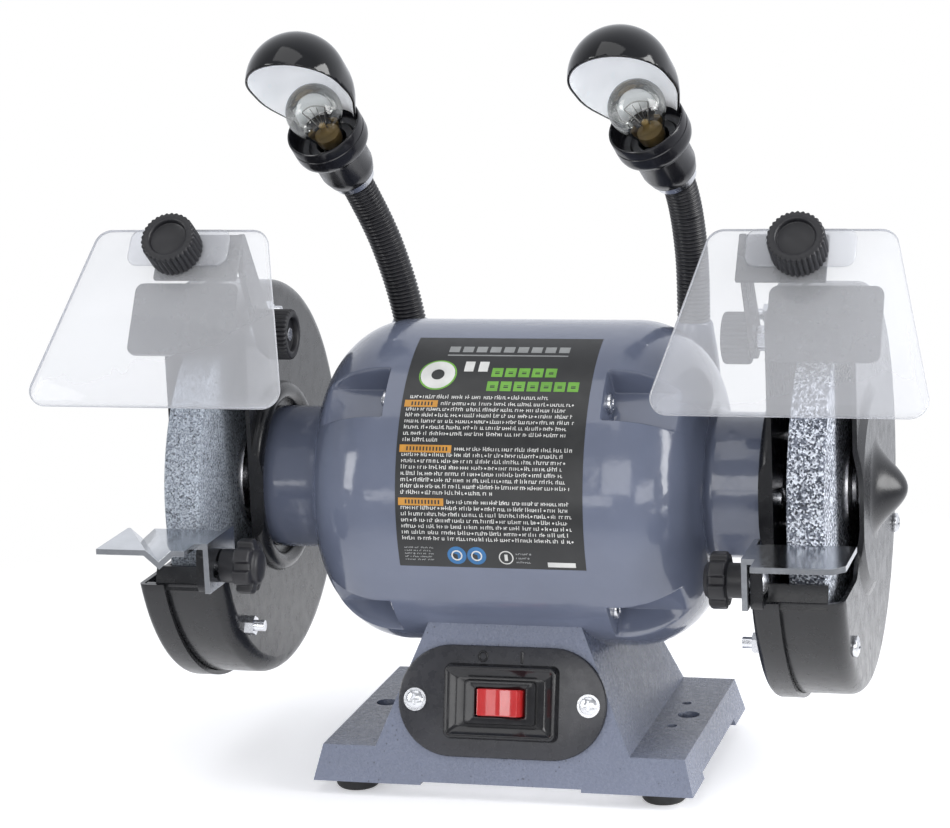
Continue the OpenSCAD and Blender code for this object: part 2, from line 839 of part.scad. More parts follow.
module spark_arrestor_left() { color(black) on_side(-1) spark_arrestor(); }
module spark_arrestor_right() { color(black) spark_arrestor(); }

module arm_pivot_bolts() {
    color(zinc) for (s = [-1, 1]) on_side(s) {
        rod_x(3, arm_x - 11, arrestor_x + 2 + eps, pivot_y, pivot_z);
        translate([arrestor_x + 2.3, pivot_y, pivot_z]) rotate([0, 90, 0])
            cylinder(d = 10 / cos(30), h = 4, $fn = 6);
        rod_x(3, arrestor_x + 1, arrestor_x + 3, pivot_y, pivot_z);
        translate([arm_x + arm_t + gap, pivot_y, pivot_z]) rotate([0, 90, 0])
            hex_nut(10, guard_x - arm_x - arm_t - gap - eps, 3);
    }
}

// ---------------------------------------------------------------- eye shields

module at_stud() {
    translate([stud_x, stud_y, stud_z]) rotate([shield_lean, 0, 0]) children();
}

module shield_arm() {
    flange_x0 = arm_x - stud_x;
    difference() {
        union() {
            plate_x(arm_x, arm_x + arm_t) hull() {
                translate([pivot_y, pivot_z]) circle(9, $fn = 32);
                translate([stud_y + 8, stud_z - 8]) circle(3, $fn = 32);
                translate([stud_y + 9, stud_z + 6.5]) circle(2, $fn = 32);
            }
            at_stud() translate([flange_x0, -11, -gap - arm_t]) cube([-flange_x0 + 11, 22, arm_t]);
        }
        rod_x(3.05, arm_x - 1, arm_x + 5, pivot_y, pivot_z);
        at_stud() translate([0, 0, -5]) cylinder(r = 3, h = 10);
        // the upright plate stops below the shield
        at_stud() translate([flange_x0 - 1, -60, -gap]) cube([10, 80, 40]);
    }
}

module shield_arm_left() { color(black) on_side(-1) shield_arm(); }
module shield_arm_right() { color(black) shield_arm(); }

module arm_knob() {
    translate([arm_x - gap, pivot_y, pivot_z]) rotate([0, -90, 0]) fluted_knob(11.5, 12, 3.05, 9.5);
}

module arm_knob_left() { color(black) on_side(-1) arm_knob(); }
module arm_knob_right() { color(black) arm_knob(); }

// A clear plate, wider at the bottom, with a raised pad round its clamp stud.
module eye_shield() {
    r = 8;
    top = 12;
    at_stud() difference() {
        union() {
            hull() for (s = [-1, 1]) {
                translate([s * (shield_top / 2 - r), top - r, 0]) cylinder(r = r, h = shield_t, $fn = 32);
                translate([s * (shield_bottom / 2 - r), top - shield_len + r, 0])
                    cylinder(r = r, h = shield_t, $fn = 32);
            }
            translate([0, 2, shield_t - eps]) linear_extrude(pad_t + eps) round_rect(47, 17, 5);
        }
        translate([0, 0, -1]) cylinder(r = 3.05, h = 10);
    }
}

module eye_shield_left() { color(clear) on_side(-1) eye_shield(); }
module eye_shield_right() { color(clear) eye_shield(); }

module shield_stud() {
    at_stud() {
        translate([0, 0, -gap - arm_t]) cylinder(r = 3, h = 16);
        translate([0, 0, -gap - arm_t - 3.5]) intersection() {
            cylinder(r = 7, h = 3.5);
            translate([0, 0, 8.5]) sphere(9);
        }
    }
}

module shield_stud_left() { color(zinc) on_side(-1) shield_stud(); }
module shield_stud_right() { color(zinc) shield_stud(); }

module shield_knob() {
    at_stud() translate([0, 0, shield_t + pad_t + gap]) fluted_knob(12.4, 14, 3.05, 9.5);
}

module shield_knob_left() { color(black) on_side(-1) shield_knob(); }
module shield_knob_right() { color(black) shield_knob(); }

// ---------------------------------------------------------------- lamps

// One rigid length of a gooseneck, from pivot a to pivot b: a cup over a's ball, and a ball at b.
module neck_segment(a, b) {
    d = b - a;
    len = norm(d);
    translate(a) rotate([0, acos(d[2] / len), atan2(d[1], d[0])]) {
        difference() {
            translate([0, 0, neck_gap]) cylinder(d = neck_d, h = len - 2 * neck_gap);
            sphere(socket_r);
        }
        translate([0, 0, len - neck_gap - 4]) cylinder(r = 5, h = 5);
        translate([0, 0, len]) sphere(ball_r);
    }
}

module neck_lower_left() { color(black) neck_segment(left_neck[0], left_neck[1]); }
module neck_lower_right() { color(black) neck_segment(right_neck[0], right_neck[1]); }
module neck_upper_left() { color(black) neck_segment(left_neck[1], left_neck[2]); }
module neck_upper_right() { color(black) neck_segment(right_neck[1], right_neck[2]); }

// A lamp head's own frame: +Z along the lamp, its open side towards -Y, and the ring at z = 0.
module at_head(neck, lean) {
    translate(neck[2]) rotate([0, lean[1], 0]) rotate([lean[0], 0, 0]) translate([0, 0, 5]) children();
}

module lamp_socket() {
    difference() {
        rotate_extrude() polygon([
            [0, -1.6], [9.8, -1.6], [9.8, 1.6], [10.4, 1.6], [12.6, 7], [13, 19],
            [17, 23], [18, 25.5], [18, rim_s], [16.7, rim_s], [16.7, 26], [0, 26]
        ]);
        translate([0, 0, -5]) sphere(socket_r);
        translate([0, 0, 7]) cylinder(r = 6.6, h = 25);
    }
}

// A hood open on one side: a flared tube with a round end, cut by a slanting plane.
module lamp_hood() {
    rotate([0, 0, hood_roll]) difference() {
        rotate_extrude() difference() {
            hood_outline(0);
            hood_outline(hood_t);
        }
        translate([0, 0, hood_s - 13]) rotate([hood_cut, 0, 0])
            translate([-50, -100, -80]) cube([100, 100, 160]);
    }
}

module hood_outline(t) {
    low = rim_s - 5;
    polygon([[0, low - (t > 0 ? 1 : 0)], [16.4 - t, low - (t > 0 ? 1 : 0)], [16.4 - t, rim_s],
        [hood_r - t, rim_s + 17], [hood_r - t, hood_s], [0, hood_s]]);
    intersection() {
        translate([0, hood_s]) circle(hood_r - t);
        translate([0, hood_s - 1]) square([40, 60]);
    }
}

// A clear globe on a narrow neck, open at its foot inside the socket.
module bulb() {
    t = 0.8;
    rotate_extrude() difference() {
        bulb_outline(0);
        bulb_outline(t);
    }
}

module bulb_outline(t) {
    intersection() {
        translate([0, globe_s]) circle(globe_r - t);
        translate([0, globe_s - 20]) square([20, 40]);
    }
    translate([0, 8 - t]) square([6.5 - t, globe_s - 8]);
}

module lamp_socket_left() { color(black) at_head(left_neck, left_lean) lamp_socket(); }
module lamp_socket_right() { color(black) at_head(right_neck, right_lean) lamp_socket(); }
module lamp_hood_left() { color(black) at_head(left_neck, left_lean) lamp_hood(); }
module lamp_hood_right() { color(black) at_head(right_neck, right_lean) lamp_hood(); }
module bulb_left() { color(clear) at_head(left_neck, left_lean) bulb(); }
module bulb_right() { color(clear) at_head(right_neck, right_lean) bulb(); }

base_casting();
base_cover_plate();
rubber_feet();
feet_screws();
base_bolts();
switch_plate();
switch_body();
switch_rocker();
switch_screws();
cord_gland();
run_capacitor();
motor_shell();
end_bell_left();
end_bell_right();
tie_bolts();
stator_core();
stator_windings();
rotor_shaft();
rotor_core();
bearings();
wheel_flanges();
spindle_nuts();
wheel_left();
wheel_right();
inner_guard_left();
inner_guard_right();
wheel_cover_left();
wheel_cover_right();
guard_mount_screws();
guard_through_screws();
rest_bracket_left();
rest_bracket_right();
rest_bolts();
tool_rest_left();
tool_rest_right();
rest_knob_left();
rest_knob_right();
spark_arrestor_left();
spark_arrestor_right();
arm_pivot_bolts();
shield_arm_left();
shield_arm_right();
arm_knob_left();
arm_knob_right();
eye_shield_left();
eye_shield_right();
shield_stud_left();
shield_stud_right();
shield_knob_left();
shield_knob_right();
neck_lower_left();
neck_lower_right();
neck_upper_left();
neck_upper_right();
lamp_socket_left();
lamp_socket_right();
lamp_hood_left();
lamp_hood_right();
bulb_left();
bulb_right();
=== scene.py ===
"""Bench grinder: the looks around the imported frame.

Lengths in the builders are millimetres; Blender is in metres.
"""
import math
import random

import bmesh
import bpy
import numpy as np
from mathutils import Matrix, Vector


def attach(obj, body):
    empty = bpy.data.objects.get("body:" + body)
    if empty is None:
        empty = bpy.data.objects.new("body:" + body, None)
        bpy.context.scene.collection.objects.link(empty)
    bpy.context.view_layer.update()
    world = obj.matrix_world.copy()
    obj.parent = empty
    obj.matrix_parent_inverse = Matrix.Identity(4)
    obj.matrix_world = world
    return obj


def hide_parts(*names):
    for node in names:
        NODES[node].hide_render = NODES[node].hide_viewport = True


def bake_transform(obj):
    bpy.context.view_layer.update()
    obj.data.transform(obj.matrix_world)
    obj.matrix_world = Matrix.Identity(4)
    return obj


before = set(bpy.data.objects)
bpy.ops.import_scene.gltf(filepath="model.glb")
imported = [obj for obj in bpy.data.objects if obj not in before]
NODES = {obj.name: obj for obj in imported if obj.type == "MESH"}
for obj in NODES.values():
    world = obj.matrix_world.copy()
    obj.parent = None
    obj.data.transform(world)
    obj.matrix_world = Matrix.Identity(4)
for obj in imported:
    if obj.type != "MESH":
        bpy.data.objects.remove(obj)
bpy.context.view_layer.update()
MM = 0.001
SIDES = (("left", -1), ("right", 1))
SHAFT_Z = 132
TAU = 2 * math.pi


# ---------------------------------------------------------------- camera

CAMERA_AT = (340.8, -1303.7, 445.7)
CAMERA_AHEAD = (-0.2612, 0.9448, -0.1979)
CAMERA_RIGHT = (0.9652, 0.2584, -0.0407)
CAMERA_LENS = 114.1
CAMERA_SHIFT = (-0.00756, -0.0220)


def make_camera():
    ahead = Vector(CAMERA_AHEAD).normalized()
    right = Vector(CAMERA_RIGHT).normalized()
    up = right.cross(ahead)
    data = bpy.data.cameras.new("camera")
    data.sensor_width = 36
    data.lens = CAMERA_LENS
    data.shift_x, data.shift_y = CAMERA_SHIFT
    data.clip_start = 0.05
    data.clip_end = 50
    cam = bpy.data.objects.new("camera", data)
    turn = Matrix((right, up, -ahead)).transposed().to_4x4()
    cam.matrix_world = Matrix.Translation(Vector(CAMERA_AT) * MM) @ turn
    bpy.context.scene.collection.objects.link(cam)
    bpy.context.scene.camera = cam


make_camera()


# ---------------------------------------------------------------- node materials

class Graph:
    """A short way to write a node tree."""

    def __init__(self, name):
        self.mat = bpy.data.materials.new(name)
        self.mat.use_nodes = True
        self.tree = self.mat.node_tree
        self.tree.nodes.clear()
        self.out = self.add("ShaderNodeOutputMaterial")
        self.place = self.add("ShaderNodeTexCoord").outputs["Object"]

    def add(self, kind, inputs=None, **props):
        node = self.tree.nodes.new(kind)
        for key, value in props.items():
            setattr(node, key, value)
        for key, value in (inputs or {}).items():
            self.set(node.inputs[key], value)
        return node

    def set(self, socket, value):
        if isinstance(value, bpy.types.NodeSocket):
            self.tree.links.new(value, socket)
        else:
            socket.default_value = value

    def noise(self, scale, detail=3.0, rough=0.5, vector=None):
        node = self.add("ShaderNodeTexNoise", {"Scale": scale, "Detail": detail, "Roughness": rough,
                                               "Vector": vector or self.place})
        return node.outputs["Fac"]

    def cells(self, scale, output="Color"):
        return self.add("ShaderNodeTexVoronoi", {"Scale": scale, "Vector": self.place}).outputs[output]

    def stretch(self, scale):
        return self.add("ShaderNodeMapping", {"Vector": self.place, "Scale": scale}).outputs["Vector"]

    def ramp(self, fac, stops):
        node = self.add("ShaderNodeValToRGB", {"Fac": fac})
        band = node.color_ramp.elements
        while len(band) < len(stops):
            band.new(0.5)
        for stop, (place, colour) in zip(band, stops):
            stop.position = place
            stop.color = colour if isinstance(colour, tuple) else (colour, colour, colour, 1)
        return node.outputs["Color"]

    def span(self, fac, low, high, start=0.0, end=1.0):
        node = self.add("ShaderNodeMapRange", {"Value": fac, "From Min": start, "From Max": end,
                                               "To Min": low, "To Max": high})
        return node.outputs["Result"]

    def mix(self, fac, a, b):
        node = self.add("ShaderNodeMix", data_type="RGBA")
        self.set(node.inputs["Factor"], fac)
        self.set(node.inputs[6], a)
        self.set(node.inputs[7], b)
        return node.outputs[2]

    def math(self, kind, a, b=0.0):
        node = self.add("ShaderNodeMath", operation=kind)
        self.set(node.inputs[0], a)
        self.set(node.inputs[1], b)
        return node.outputs[0]

    def bump(self, height, strength, distance, normal=None):
        inputs = {"Height": height, "Strength": strength, "Distance": distance}
        if normal:
            inputs["Normal"] = normal
        return self.add("ShaderNodeBump", inputs).outputs["Normal"]

    def surface(self, **inputs):
        node = self.add("ShaderNodeBsdfPrincipled",
                        {key.replace("_", " "): value for key, value in inputs.items()})
        self.set(self.out.inputs["Surface"], node.outputs[0])
        return self.mat

    def blend(self, fac, first, second):
        """A surface that goes from the first shader to the second."""
        both = self.add("ShaderNodeMixShader")
        self.set(both.inputs[0], fac)
        self.set(both.inputs[1], first.outputs[0])
        self.set(both.inputs[2], second.outputs[0])
        self.set(self.out.inputs["Surface"], both.outputs[0])
        return self.mat


def rgb(r, g, b):
    return (r, g, b, 1)


def darker(colour, share):
    return tuple(c * share for c in colour[:3]) + (1,)


def enamel(name, colour, peel, cast):
    """Glossy paint with a light orange peel.

    cast is the depth of the casting's own texture, in metres; its small pits are darkened with painted shade.
    """
    g = Graph(name)
    tint = g.mix(g.span(g.noise(35), 0, 1, 0.35, 0.65), darker(colour, 0.93), colour)
    rough = g.span(g.noise(240, 4), 0.10, 0.2, 0.3, 0.7)
    normal = g.bump(g.noise(190, 2), peel, 0.0004, g.bump(g.noise(70, 2), peel, 0.0010))
    if cast:
        grain = g.noise(620, 5, 0.62)
        normal = g.bump(grain, 0.6, cast, normal)
        pits = g.cells(430, "Distance")
        keep = g.math("GREATER_THAN", g.noise(60, 2), 0.54)
        pit_and_painted_shade = g.math("MULTIPLY", g.span(pits, 1, 0, 0.10, 0.22), keep)
        # Painted shade: the pits are darkened in colour as well as sunk by the bump.
        tint = g.mix(g.math("MULTIPLY", pit_and_painted_shade, 0.75), tint, rgb(0.025, 0.028, 0.04))
        normal = g.bump(pit_and_painted_shade, -0.6, 0.0004, normal)
        rough = g.span(g.noise(300, 4), 0.2, 0.34, 0.3, 0.7)
    return g.surface(Base_Color=tint, Roughness=rough, Normal=normal,
                     Coat_Weight=0.0 if cast else 0.35, Coat_Roughness=0.04)


def satin_black(name, value, low, high):
    g = Graph(name)
    tint = g.mix(g.span(g.noise(55, 3), 0, 1, 0.35, 0.65), rgb(value, value * 1.05, value * 1.25),
                 rgb(value * 1.5, value * 1.55, value * 1.85))
    rough = g.span(g.noise(180, 4), low, high, 0.3, 0.7)
    normal = g.bump(g.noise(1100, 3), 0.10, 0.0002, g.bump(g.noise(90, 2), 0.12, 0.0004))
    return g.surface(Base_Color=tint, Roughness=rough, Normal=normal)


def plastic(name, colour, low, high, grain=0.12, scale=1500):
    g = Graph(name)
    tint = g.mix(g.span(g.noise(90, 4), 0, 1, 0.35, 0.65), darker(colour, 0.8), colour)
    rough = g.span(g.noise(220, 4), low, high, 0.3, 0.7)
    normal = g.bump(g.noise(scale, 3), grain, 0.00015)
    return g.surface(Base_Color=tint, Roughness=rough, Normal=normal)


def metal(name, colour, low, high, stretch=(1, 1, 1), grain=0.08, stain=0.85):
    g = Graph(name)
    along = g.stretch(stretch)
    tint = g.mix(g.span(g.noise(60, 4, 0.6), 0, 1, 0.3, 0.7), darker(colour, stain), colour)
    rough = g.span(g.noise(400, 4, 0.6, along), low, high, 0.3, 0.7)
    normal = g.bump(g.noise(900, 3, 0.6, along), grain, 0.0002)
    return g.surface(Base_Color=tint, Metallic=1.0, Roughness=rough, Normal=normal)


def grit(name, grains, stops, depth):
    """Bonded abrasive: grains of random tone, each a small bump, with painted shade for the dark pores
    between.
    """
    g = Graph(name)
    shade = g.ramp(g.cells(grains), stops)
    painted_pore_shade = g.span(g.noise(grains * 0.55, 3, 0.6), 0, 1, 0.30, 0.46)
    # Painted shade: the pores are not sunk, only darkened in colour.
    tint = g.mix(painted_pore_shade, rgb(0.02, 0.022, 0.028), shade)
    tone = g.span(g.noise(45, 3), 0.85, 1.12, 0.3, 0.7)
    scaled = g.add("ShaderNodeVectorMath", operation="SCALE")
    g.set(scaled.inputs[0], tint)
    g.set(scaled.inputs["Scale"], tone)
    height = g.math("ADD", g.cells(grains, "Distance"), g.noise(grains * 0.8, 4, 0.7))
    rough = g.span(g.noise(grains), 0.55, 0.9, 0.3, 0.7)
    return g.surface(Base_Color=scaled.outputs[0], Roughness=rough, Normal=g.bump(height, 0.9, depth))


def clear_sheet(name, haze, tint):
    """Clear plastic seen as see-through with a veil of reflected light."""
    g = Graph(name)
    veil = g.add("ShaderNodeBsdfPrincipled", {
        "Base Color": rgb(0.93, 0.94, 0.97), "IOR": 1.58,
        "Roughness": g.span(g.noise(140, 3), 0.03, 0.10, 0.3, 0.7),
        "Normal": g.bump(g.noise(60, 2), 0.03, 0.0004)})
    through = g.add("ShaderNodeBsdfTransparent", {"Color": tint})
    fresnel = g.add("ShaderNodeFresnel", {"IOR": 1.5})
    cloud = g.span(g.noise(25, 3), haze * 0.92, haze * 1.08)
    amount = g.math("ADD", g.math("MULTIPLY", fresnel.outputs[0], 0.8), cloud)
    return g.blend(amount, through, veil)


def glass(name):
    g = Graph(name)
    tint = g.mix(g.noise(90, 3), rgb(0.93, 0.94, 0.93), rgb(0.97, 0.98, 0.97))
    through = g.add("ShaderNodeBsdfTransparent", {"Color": tint})
    shine = g.add("ShaderNodeBsdfGlossy", {"Roughness": g.span(g.noise(200, 3), 0.01, 0.05, 0.3, 0.7)})
    facing = g.add("ShaderNodeLayerWeight", {"Blend": 0.35})
    return g.blend(g.span(facing.outputs["Fresnel"], 0.02, 0.85), through, shine)


def white_enamel_painted_glow():
    """White paint given a painted glow: a weak emission keeps it bright inside the shade, in place of the
    light it gets there under studio light.
    """
    g = Graph("hood_white_painted_glow")
    tint = g.mix(g.span(g.noise(90, 3), 0, 1, 0.35, 0.65), rgb(0.84, 0.86, 0.89), rgb(0.90, 0.91, 0.94))
    # The emission is painted light: the white paint glows a little though it is no lamp.
    return g.surface(Base_Color=tint, Roughness=g.span(g.noise(200, 3), 0.25, 0.4, 0.3, 0.7),
                     Emission_Color=tint, Emission_Strength=0.2)


def red_plastic_painted_glow():
    g = Graph("rocker_red_painted_glow")
    tint = g.mix(g.noise(120, 3), rgb(0.40, 0.012, 0.015), rgb(0.52, 0.03, 0.03))
    # A weak emission makes the red glow a little: painted light, for the switch is no lamp.
    return g.surface(Base_Color=tint, Roughness=g.span(g.noise(160, 3), 0.12, 0.2, 0.3, 0.7),
                     Subsurface_Weight=0.3, Subsurface_Radius=(0.004, 0.0005, 0.0005), Subsurface_Scale=0.5,
                     Coat_Weight=0.5, Coat_Roughness=0.06, Emission_Color=tint, Emission_Strength=0.05)


FINE_GRAINS = ((0.1, rgb(0.15, 0.168, 0.20)), (0.45, rgb(0.34, 0.38, 0.44)), (0.9, rgb(0.58, 0.63, 0.70)))
COARSE_GRAINS = ((0.2, rgb(0.04, 0.048, 0.065)), (0.48, rgb(0.20, 0.22, 0.27)), (0.75, rgb(0.80, 0.84, 0.92)))
M = {
    "motor_paint": enamel("motor_paint", rgb(0.140, 0.160, 0.225), 0.30, 0),
    "base_paint": enamel("base_paint", rgb(0.150, 0.170, 0.235), 0.22, 0.0006),
    "guard_black": satin_black("guard_black", 0.007, 0.20, 0.30),
    "knob_black": plastic("knob_black", rgb(0.013, 0.013, 0.016), 0.38, 0.52),
    "plate_black": plastic("plate_black", rgb(0.024, 0.025, 0.031), 0.22, 0.34, 0.30, 420),
    "bezel_black": plastic("bezel_black", rgb(0.012, 0.012, 0.014), 0.12, 0.2, 0.05),
    "sleeve_black": plastic("sleeve_black", rgb(0.012, 0.012, 0.015), 0.28, 0.4),
    "socket_black": plastic("socket_black", rgb(0.010, 0.010, 0.013), 0.14, 0.26, 0.04),
    "hood_black": satin_black("hood_black", 0.006, 0.05, 0.1),
    "hood_white_painted_glow": white_enamel_painted_glow(),
    "rubber": plastic("rubber", rgb(0.014, 0.014, 0.015), 0.6, 0.75, 0.3, 900),
    "zinc": metal("zinc", rgb(0.78, 0.79, 0.82), 0.16, 0.32),
    "rest_steel": metal("rest_steel", rgb(0.58, 0.60, 0.63), 0.12, 0.22, (1, 1, 1), 0.03, 0.85),
    "steel": metal("steel", rgb(0.55, 0.55, 0.57), 0.2, 0.35, (6, 1, 1)),
    "laminations": metal("laminations", rgb(0.28, 0.29, 0.31), 0.35, 0.5, (12, 1, 1)),
    "copper": metal("copper", rgb(0.75, 0.35, 0.17), 0.2, 0.35),
    "can": metal("can", rgb(0.75, 0.76, 0.78), 0.2, 0.35),
    "grit_fine": grit("grit_fine", 1500, FINE_GRAINS, 0.0003),
    "grit_coarse": grit("grit_coarse", 1150, COARSE_GRAINS, 0.0005),
    "shield": clear_sheet("shield", 0.21, rgb(0.97, 0.975, 0.985)),
    "bulb_glass": glass("bulb_glass"),
    "filament": metal("filament", rgb(0.35, 0.34, 0.33), 0.3, 0.45),
    "amber": plastic("amber", rgb(0.30, 0.20, 0.07), 0.3, 0.4),
    "label_dark": plastic("label_dark", rgb(0.022, 0.023, 0.024), 0.28, 0.4, 0.05),
    "ink_white": plastic("ink_white", rgb(0.72, 0.72, 0.70), 0.35, 0.45, 0.05),
    "ink_grey": plastic("ink_grey", rgb(0.30, 0.31, 0.31), 0.35, 0.45, 0.05),
    "ink_green": plastic("ink_green", rgb(0.16, 0.42, 0.05), 0.35, 0.45, 0.05),
    "ink_amber": plastic("ink_amber", rgb(0.62, 0.29, 0.04), 0.35, 0.45, 0.05),
    "ink_blue": plastic("ink_blue", rgb(0.03, 0.16, 0.38), 0.35, 0.45, 0.05),
    "rocker_red_painted_glow": red_plastic_painted_glow(),
}

# ---------------------------------------------------------------- mesh builders

PANEL = Matrix.Translation((0, -58.9, 44)) @ Matrix.Rotation(math.radians(75), 4, "X")
NECKS = {"left": ((-69, 55, 201), (-77, 50, 233), (-87, 38.5, 264.5)),
         "right": ((69, 55, 201), (69.5, 50, 232.5), (67, 38.5, 263.8))}
LEANS = {"left": (41, -12.5), "right": (38.5, -17)}
SHIELD_STUD = (139, -62.3, 246)
SHIELD_LEAN = 52.7
SHIELD_KNOB_UP = 4.3
ARM_KNOB = (111.2, -30, 205)
REST_KNOB = (117.7, -88, 111.5)
BOSS_AT = (69, 55)


def mirrored(sign):
    return Matrix.Diagonal((sign, 1, 1, 1))


def stud_frame(sign):
    lean = Matrix.Rotation(math.radians(SHIELD_LEAN), 4, "X")
    return mirrored(sign) @ Matrix.Translation(SHIELD_STUD) @ lean


def head_frame(side):
    forward, sideways = LEANS[side]
    turn = Matrix.Rotation(math.radians(sideways), 4, "Y") @ Matrix.Rotation(math.radians(forward), 4, "X")
    return Matrix.Translation(NECKS[side][2]) @ turn @ Matrix.Translation((0, 0, 5))


def build(name, points, faces, place=None, materials=(), sharp=35, face_slots=None):
    """A piece from points in millimetres, with outward faces and smooth shading up to the sharp angle."""
    pts = np.asarray(points, float)
    if place is not None:
        m = np.array(place)
        pts = pts @ m[:3, :3].T + m[:3, 3]
    mesh = bpy.data.meshes.new(name)
    mesh.from_pydata((pts * MM).tolist(), [], faces)
    bm = bmesh.new()
    bm.from_mesh(mesh)
    bmesh.ops.recalc_face_normals(bm, faces=bm.faces)
    bm.to_mesh(mesh)
    bm.free()
    for key in materials:
        mesh.materials.append(M[key])
    if face_slots is not None:
        mesh.polygons.foreach_set("material_index", face_slots)
    mesh.polygons.foreach_set("use_smooth", [True] * len(mesh.polygons))
    mesh.set_sharp_from_angle(angle=math.radians(sharp))
    piece = bpy.data.objects.new(name, mesh)
    bpy.context.scene.collection.objects.link(piece)
    return piece


def rings_mesh(rings, caps=True, loop=False):
    """Points and faces of a skin over rings of equal length; loop joins the last ring to the first."""
    count = len(rings[0])
    points = np.concatenate([np.asarray(r, float) for r in rings])
    faces = []
    last = len(rings) if loop else len(rings) - 1
    for i in range(last):
        a, b = i * count, (i + 1) % len(rings) * count
        for k in range(count):
            n = (k + 1) % count
            faces.append((a + k, a + n, b + n, b + k))
    if caps and not loop:
        faces.append(tuple(range(count))[::-1])
        faces.append(tuple(range(len(points) - count, len(points))))
    return points, faces


def lathe(name, profile, place, material, segments=96, loop=False, ripple=None, sharp=35):
    """Turns a profile of (radius, height) pairs; ripple(angle, height, radius) changes the radius."""
    turn = np.arange(segments) * TAU / segments
    rings = []
    for r, z in profile:
        radius = np.array([ripple(t, z, r) for t in turn]) if ripple else np.full(segments, float(r))
        rings.append(np.stack([radius * np.cos(turn), radius * np.sin(turn), np.full(segments, float(z))], 1))
    points, faces = rings_mesh(rings, loop=loop)
    return build(name, points, faces, place, [material], sharp)


def joined(name, parts, materials, place=None, sharp=35):
    """One piece from several (points, faces, slot) shells."""
    points, faces, slots, base = [], [], [], 0
    for pts, fcs, slot in parts:
        points.append(np.asarray(pts, float))
        faces += [tuple(i + base for i in f) for f in fcs]
        slots += [slot] * len(fcs)
        base += len(pts)
    return build(name, np.concatenate(points), faces, place, materials, sharp, slots)


def round_rect(w, h, r, z, per_corner=8):
    """One ring of a rectangle with round corners at height z."""
    r = min(r, w / 2 - 0.01, h / 2 - 0.01)
    points = []
    for cx, cy, start in ((w / 2 - r, h / 2 - r, 0), (-w / 2 + r, h / 2 - r, 90),
                          (-w / 2 + r, -h / 2 + r, 180), (w / 2 - r, -h / 2 + r, 270)):
        for k in range(per_corner):
            a = math.radians(start + 90 * k / (per_corner - 1))
            points.append((cx + r * math.cos(a), cy + r * math.sin(a), z))
    return points


def arc(cr, cz, r, start, end, steps):
    """Profile points on an arc, angles in degrees from the +radius direction."""
    return [(cr + r * math.cos(math.radians(start + (end - start) * k / steps)),
             cz + r * math.sin(math.radians(start + (end - start) * k / steps))) for k in range(steps + 1)]


def dress(piece, body, slot, *nodes):
    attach(piece, body)
    if nodes:
        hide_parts(*nodes)
    return piece


# ---------------------------------------------------------------- materials and soft edges of the CAD nodes

def paint_node(node, key, edge):
    """Gives a CAD node its material and, where edge isn't 0, edges rounded by that many millimetres."""
    obj = NODES[node]
    obj.data.materials.clear()
    obj.data.materials.append(M[key])
    if edge:
        weld = obj.modifiers.new("weld", "WELD")
        weld.merge_threshold = 0.000002
        flat = obj.modifiers.new("flat", "DECIMATE")
        flat.decimate_type = "DISSOLVE"
        flat.angle_limit = math.radians(0.5)
        bevel = obj.modifiers.new("edge", "BEVEL")
        bevel.width = edge * MM
        bevel.segments = 2
        bevel.limit_method = "ANGLE"
        bevel.angle_limit = math.radians(28)
        bevel.use_clamp_overlap = True


for cad_node, key, edge in (
        ("base_casting", "base_paint", 1.1), ("base_cover_plate", "zinc", 0.3),
        ("rubber_feet", "rubber", 0.6),
        ("feet_screws", "zinc", 0), ("base_bolts", "zinc", 0), ("switch_screws", "zinc", 0.2),
        ("cord_gland", "knob_black", 0.4), ("run_capacitor", "can", 0.5), ("tie_bolts", "zinc", 0.2),
        ("stator_core", "laminations", 0), ("stator_windings", "copper", 0), ("rotor_shaft", "steel", 0.3),
        ("rotor_core", "laminations", 0), ("bearings", "steel", 0.3), ("wheel_flanges", "steel", 0.3),
        ("spindle_nuts", "steel", 0.4), ("wheel_left", "grit_fine", 0), ("wheel_right", "grit_coarse", 0),
        ("inner_guard_left", "guard_black", 0.5), ("inner_guard_right", "guard_black", 0.5),
        ("wheel_cover_left", "guard_black", 0.5), ("wheel_cover_right", "guard_black", 0.5),
        ("guard_mount_screws", "zinc", 0), ("guard_through_screws", "zinc", 0.2),
        ("rest_bracket_left", "guard_black", 0.4), ("rest_bracket_right", "guard_black", 0.4),
        ("rest_bolts", "zinc", 0), ("tool_rest_left", "rest_steel", 0.35),
        ("tool_rest_right", "rest_steel", 0.35),
        ("spark_arrestor_left", "guard_black", 0.3), ("spark_arrestor_right", "guard_black", 0.3),
        ("arm_pivot_bolts", "zinc", 0.2), ("shield_arm_left", "guard_black", 0.4),
        ("shield_arm_right", "guard_black", 0.4), ("shield_stud_left", "zinc", 0),
        ("shield_stud_right", "zinc", 0)):
    paint_node(cad_node, key, edge)


# ---------------------------------------------------------------- motor body

MOTOR_R = 74
SHELL_HALF = 46
SHELL_INNER_R = 70.5
BELL_ROUND = 38
NECK_R = 33
POCKET_FLOOR = 60
POCKET_AT = (45, 135, 225, 315)
REAR_TOP = 315


def ease(v):
    v = np.clip(v, 0, 1)
    return v * v * (3 - 2 * v)


def motor_angles():
    angles = list(np.arange(0, 360, 1.5))
    for c in POCKET_AT:
        for d in np.arange(8.0, 11.6, 0.3):
            angles += [c - d, c + d]
    angles = sorted(set(np.round(angles, 2)))
    kept = [angles[0]]
    for a in angles[1:]:
        if a - kept[-1] >= 0.25:
            kept.append(a)
    return np.array(kept)


def motor_ring(x, radius, angles):
    t = np.radians(angles)
    return np.stack([np.full(len(t), float(x)), -radius * np.sin(t), SHAFT_Z + radius * np.cos(t)], 1)


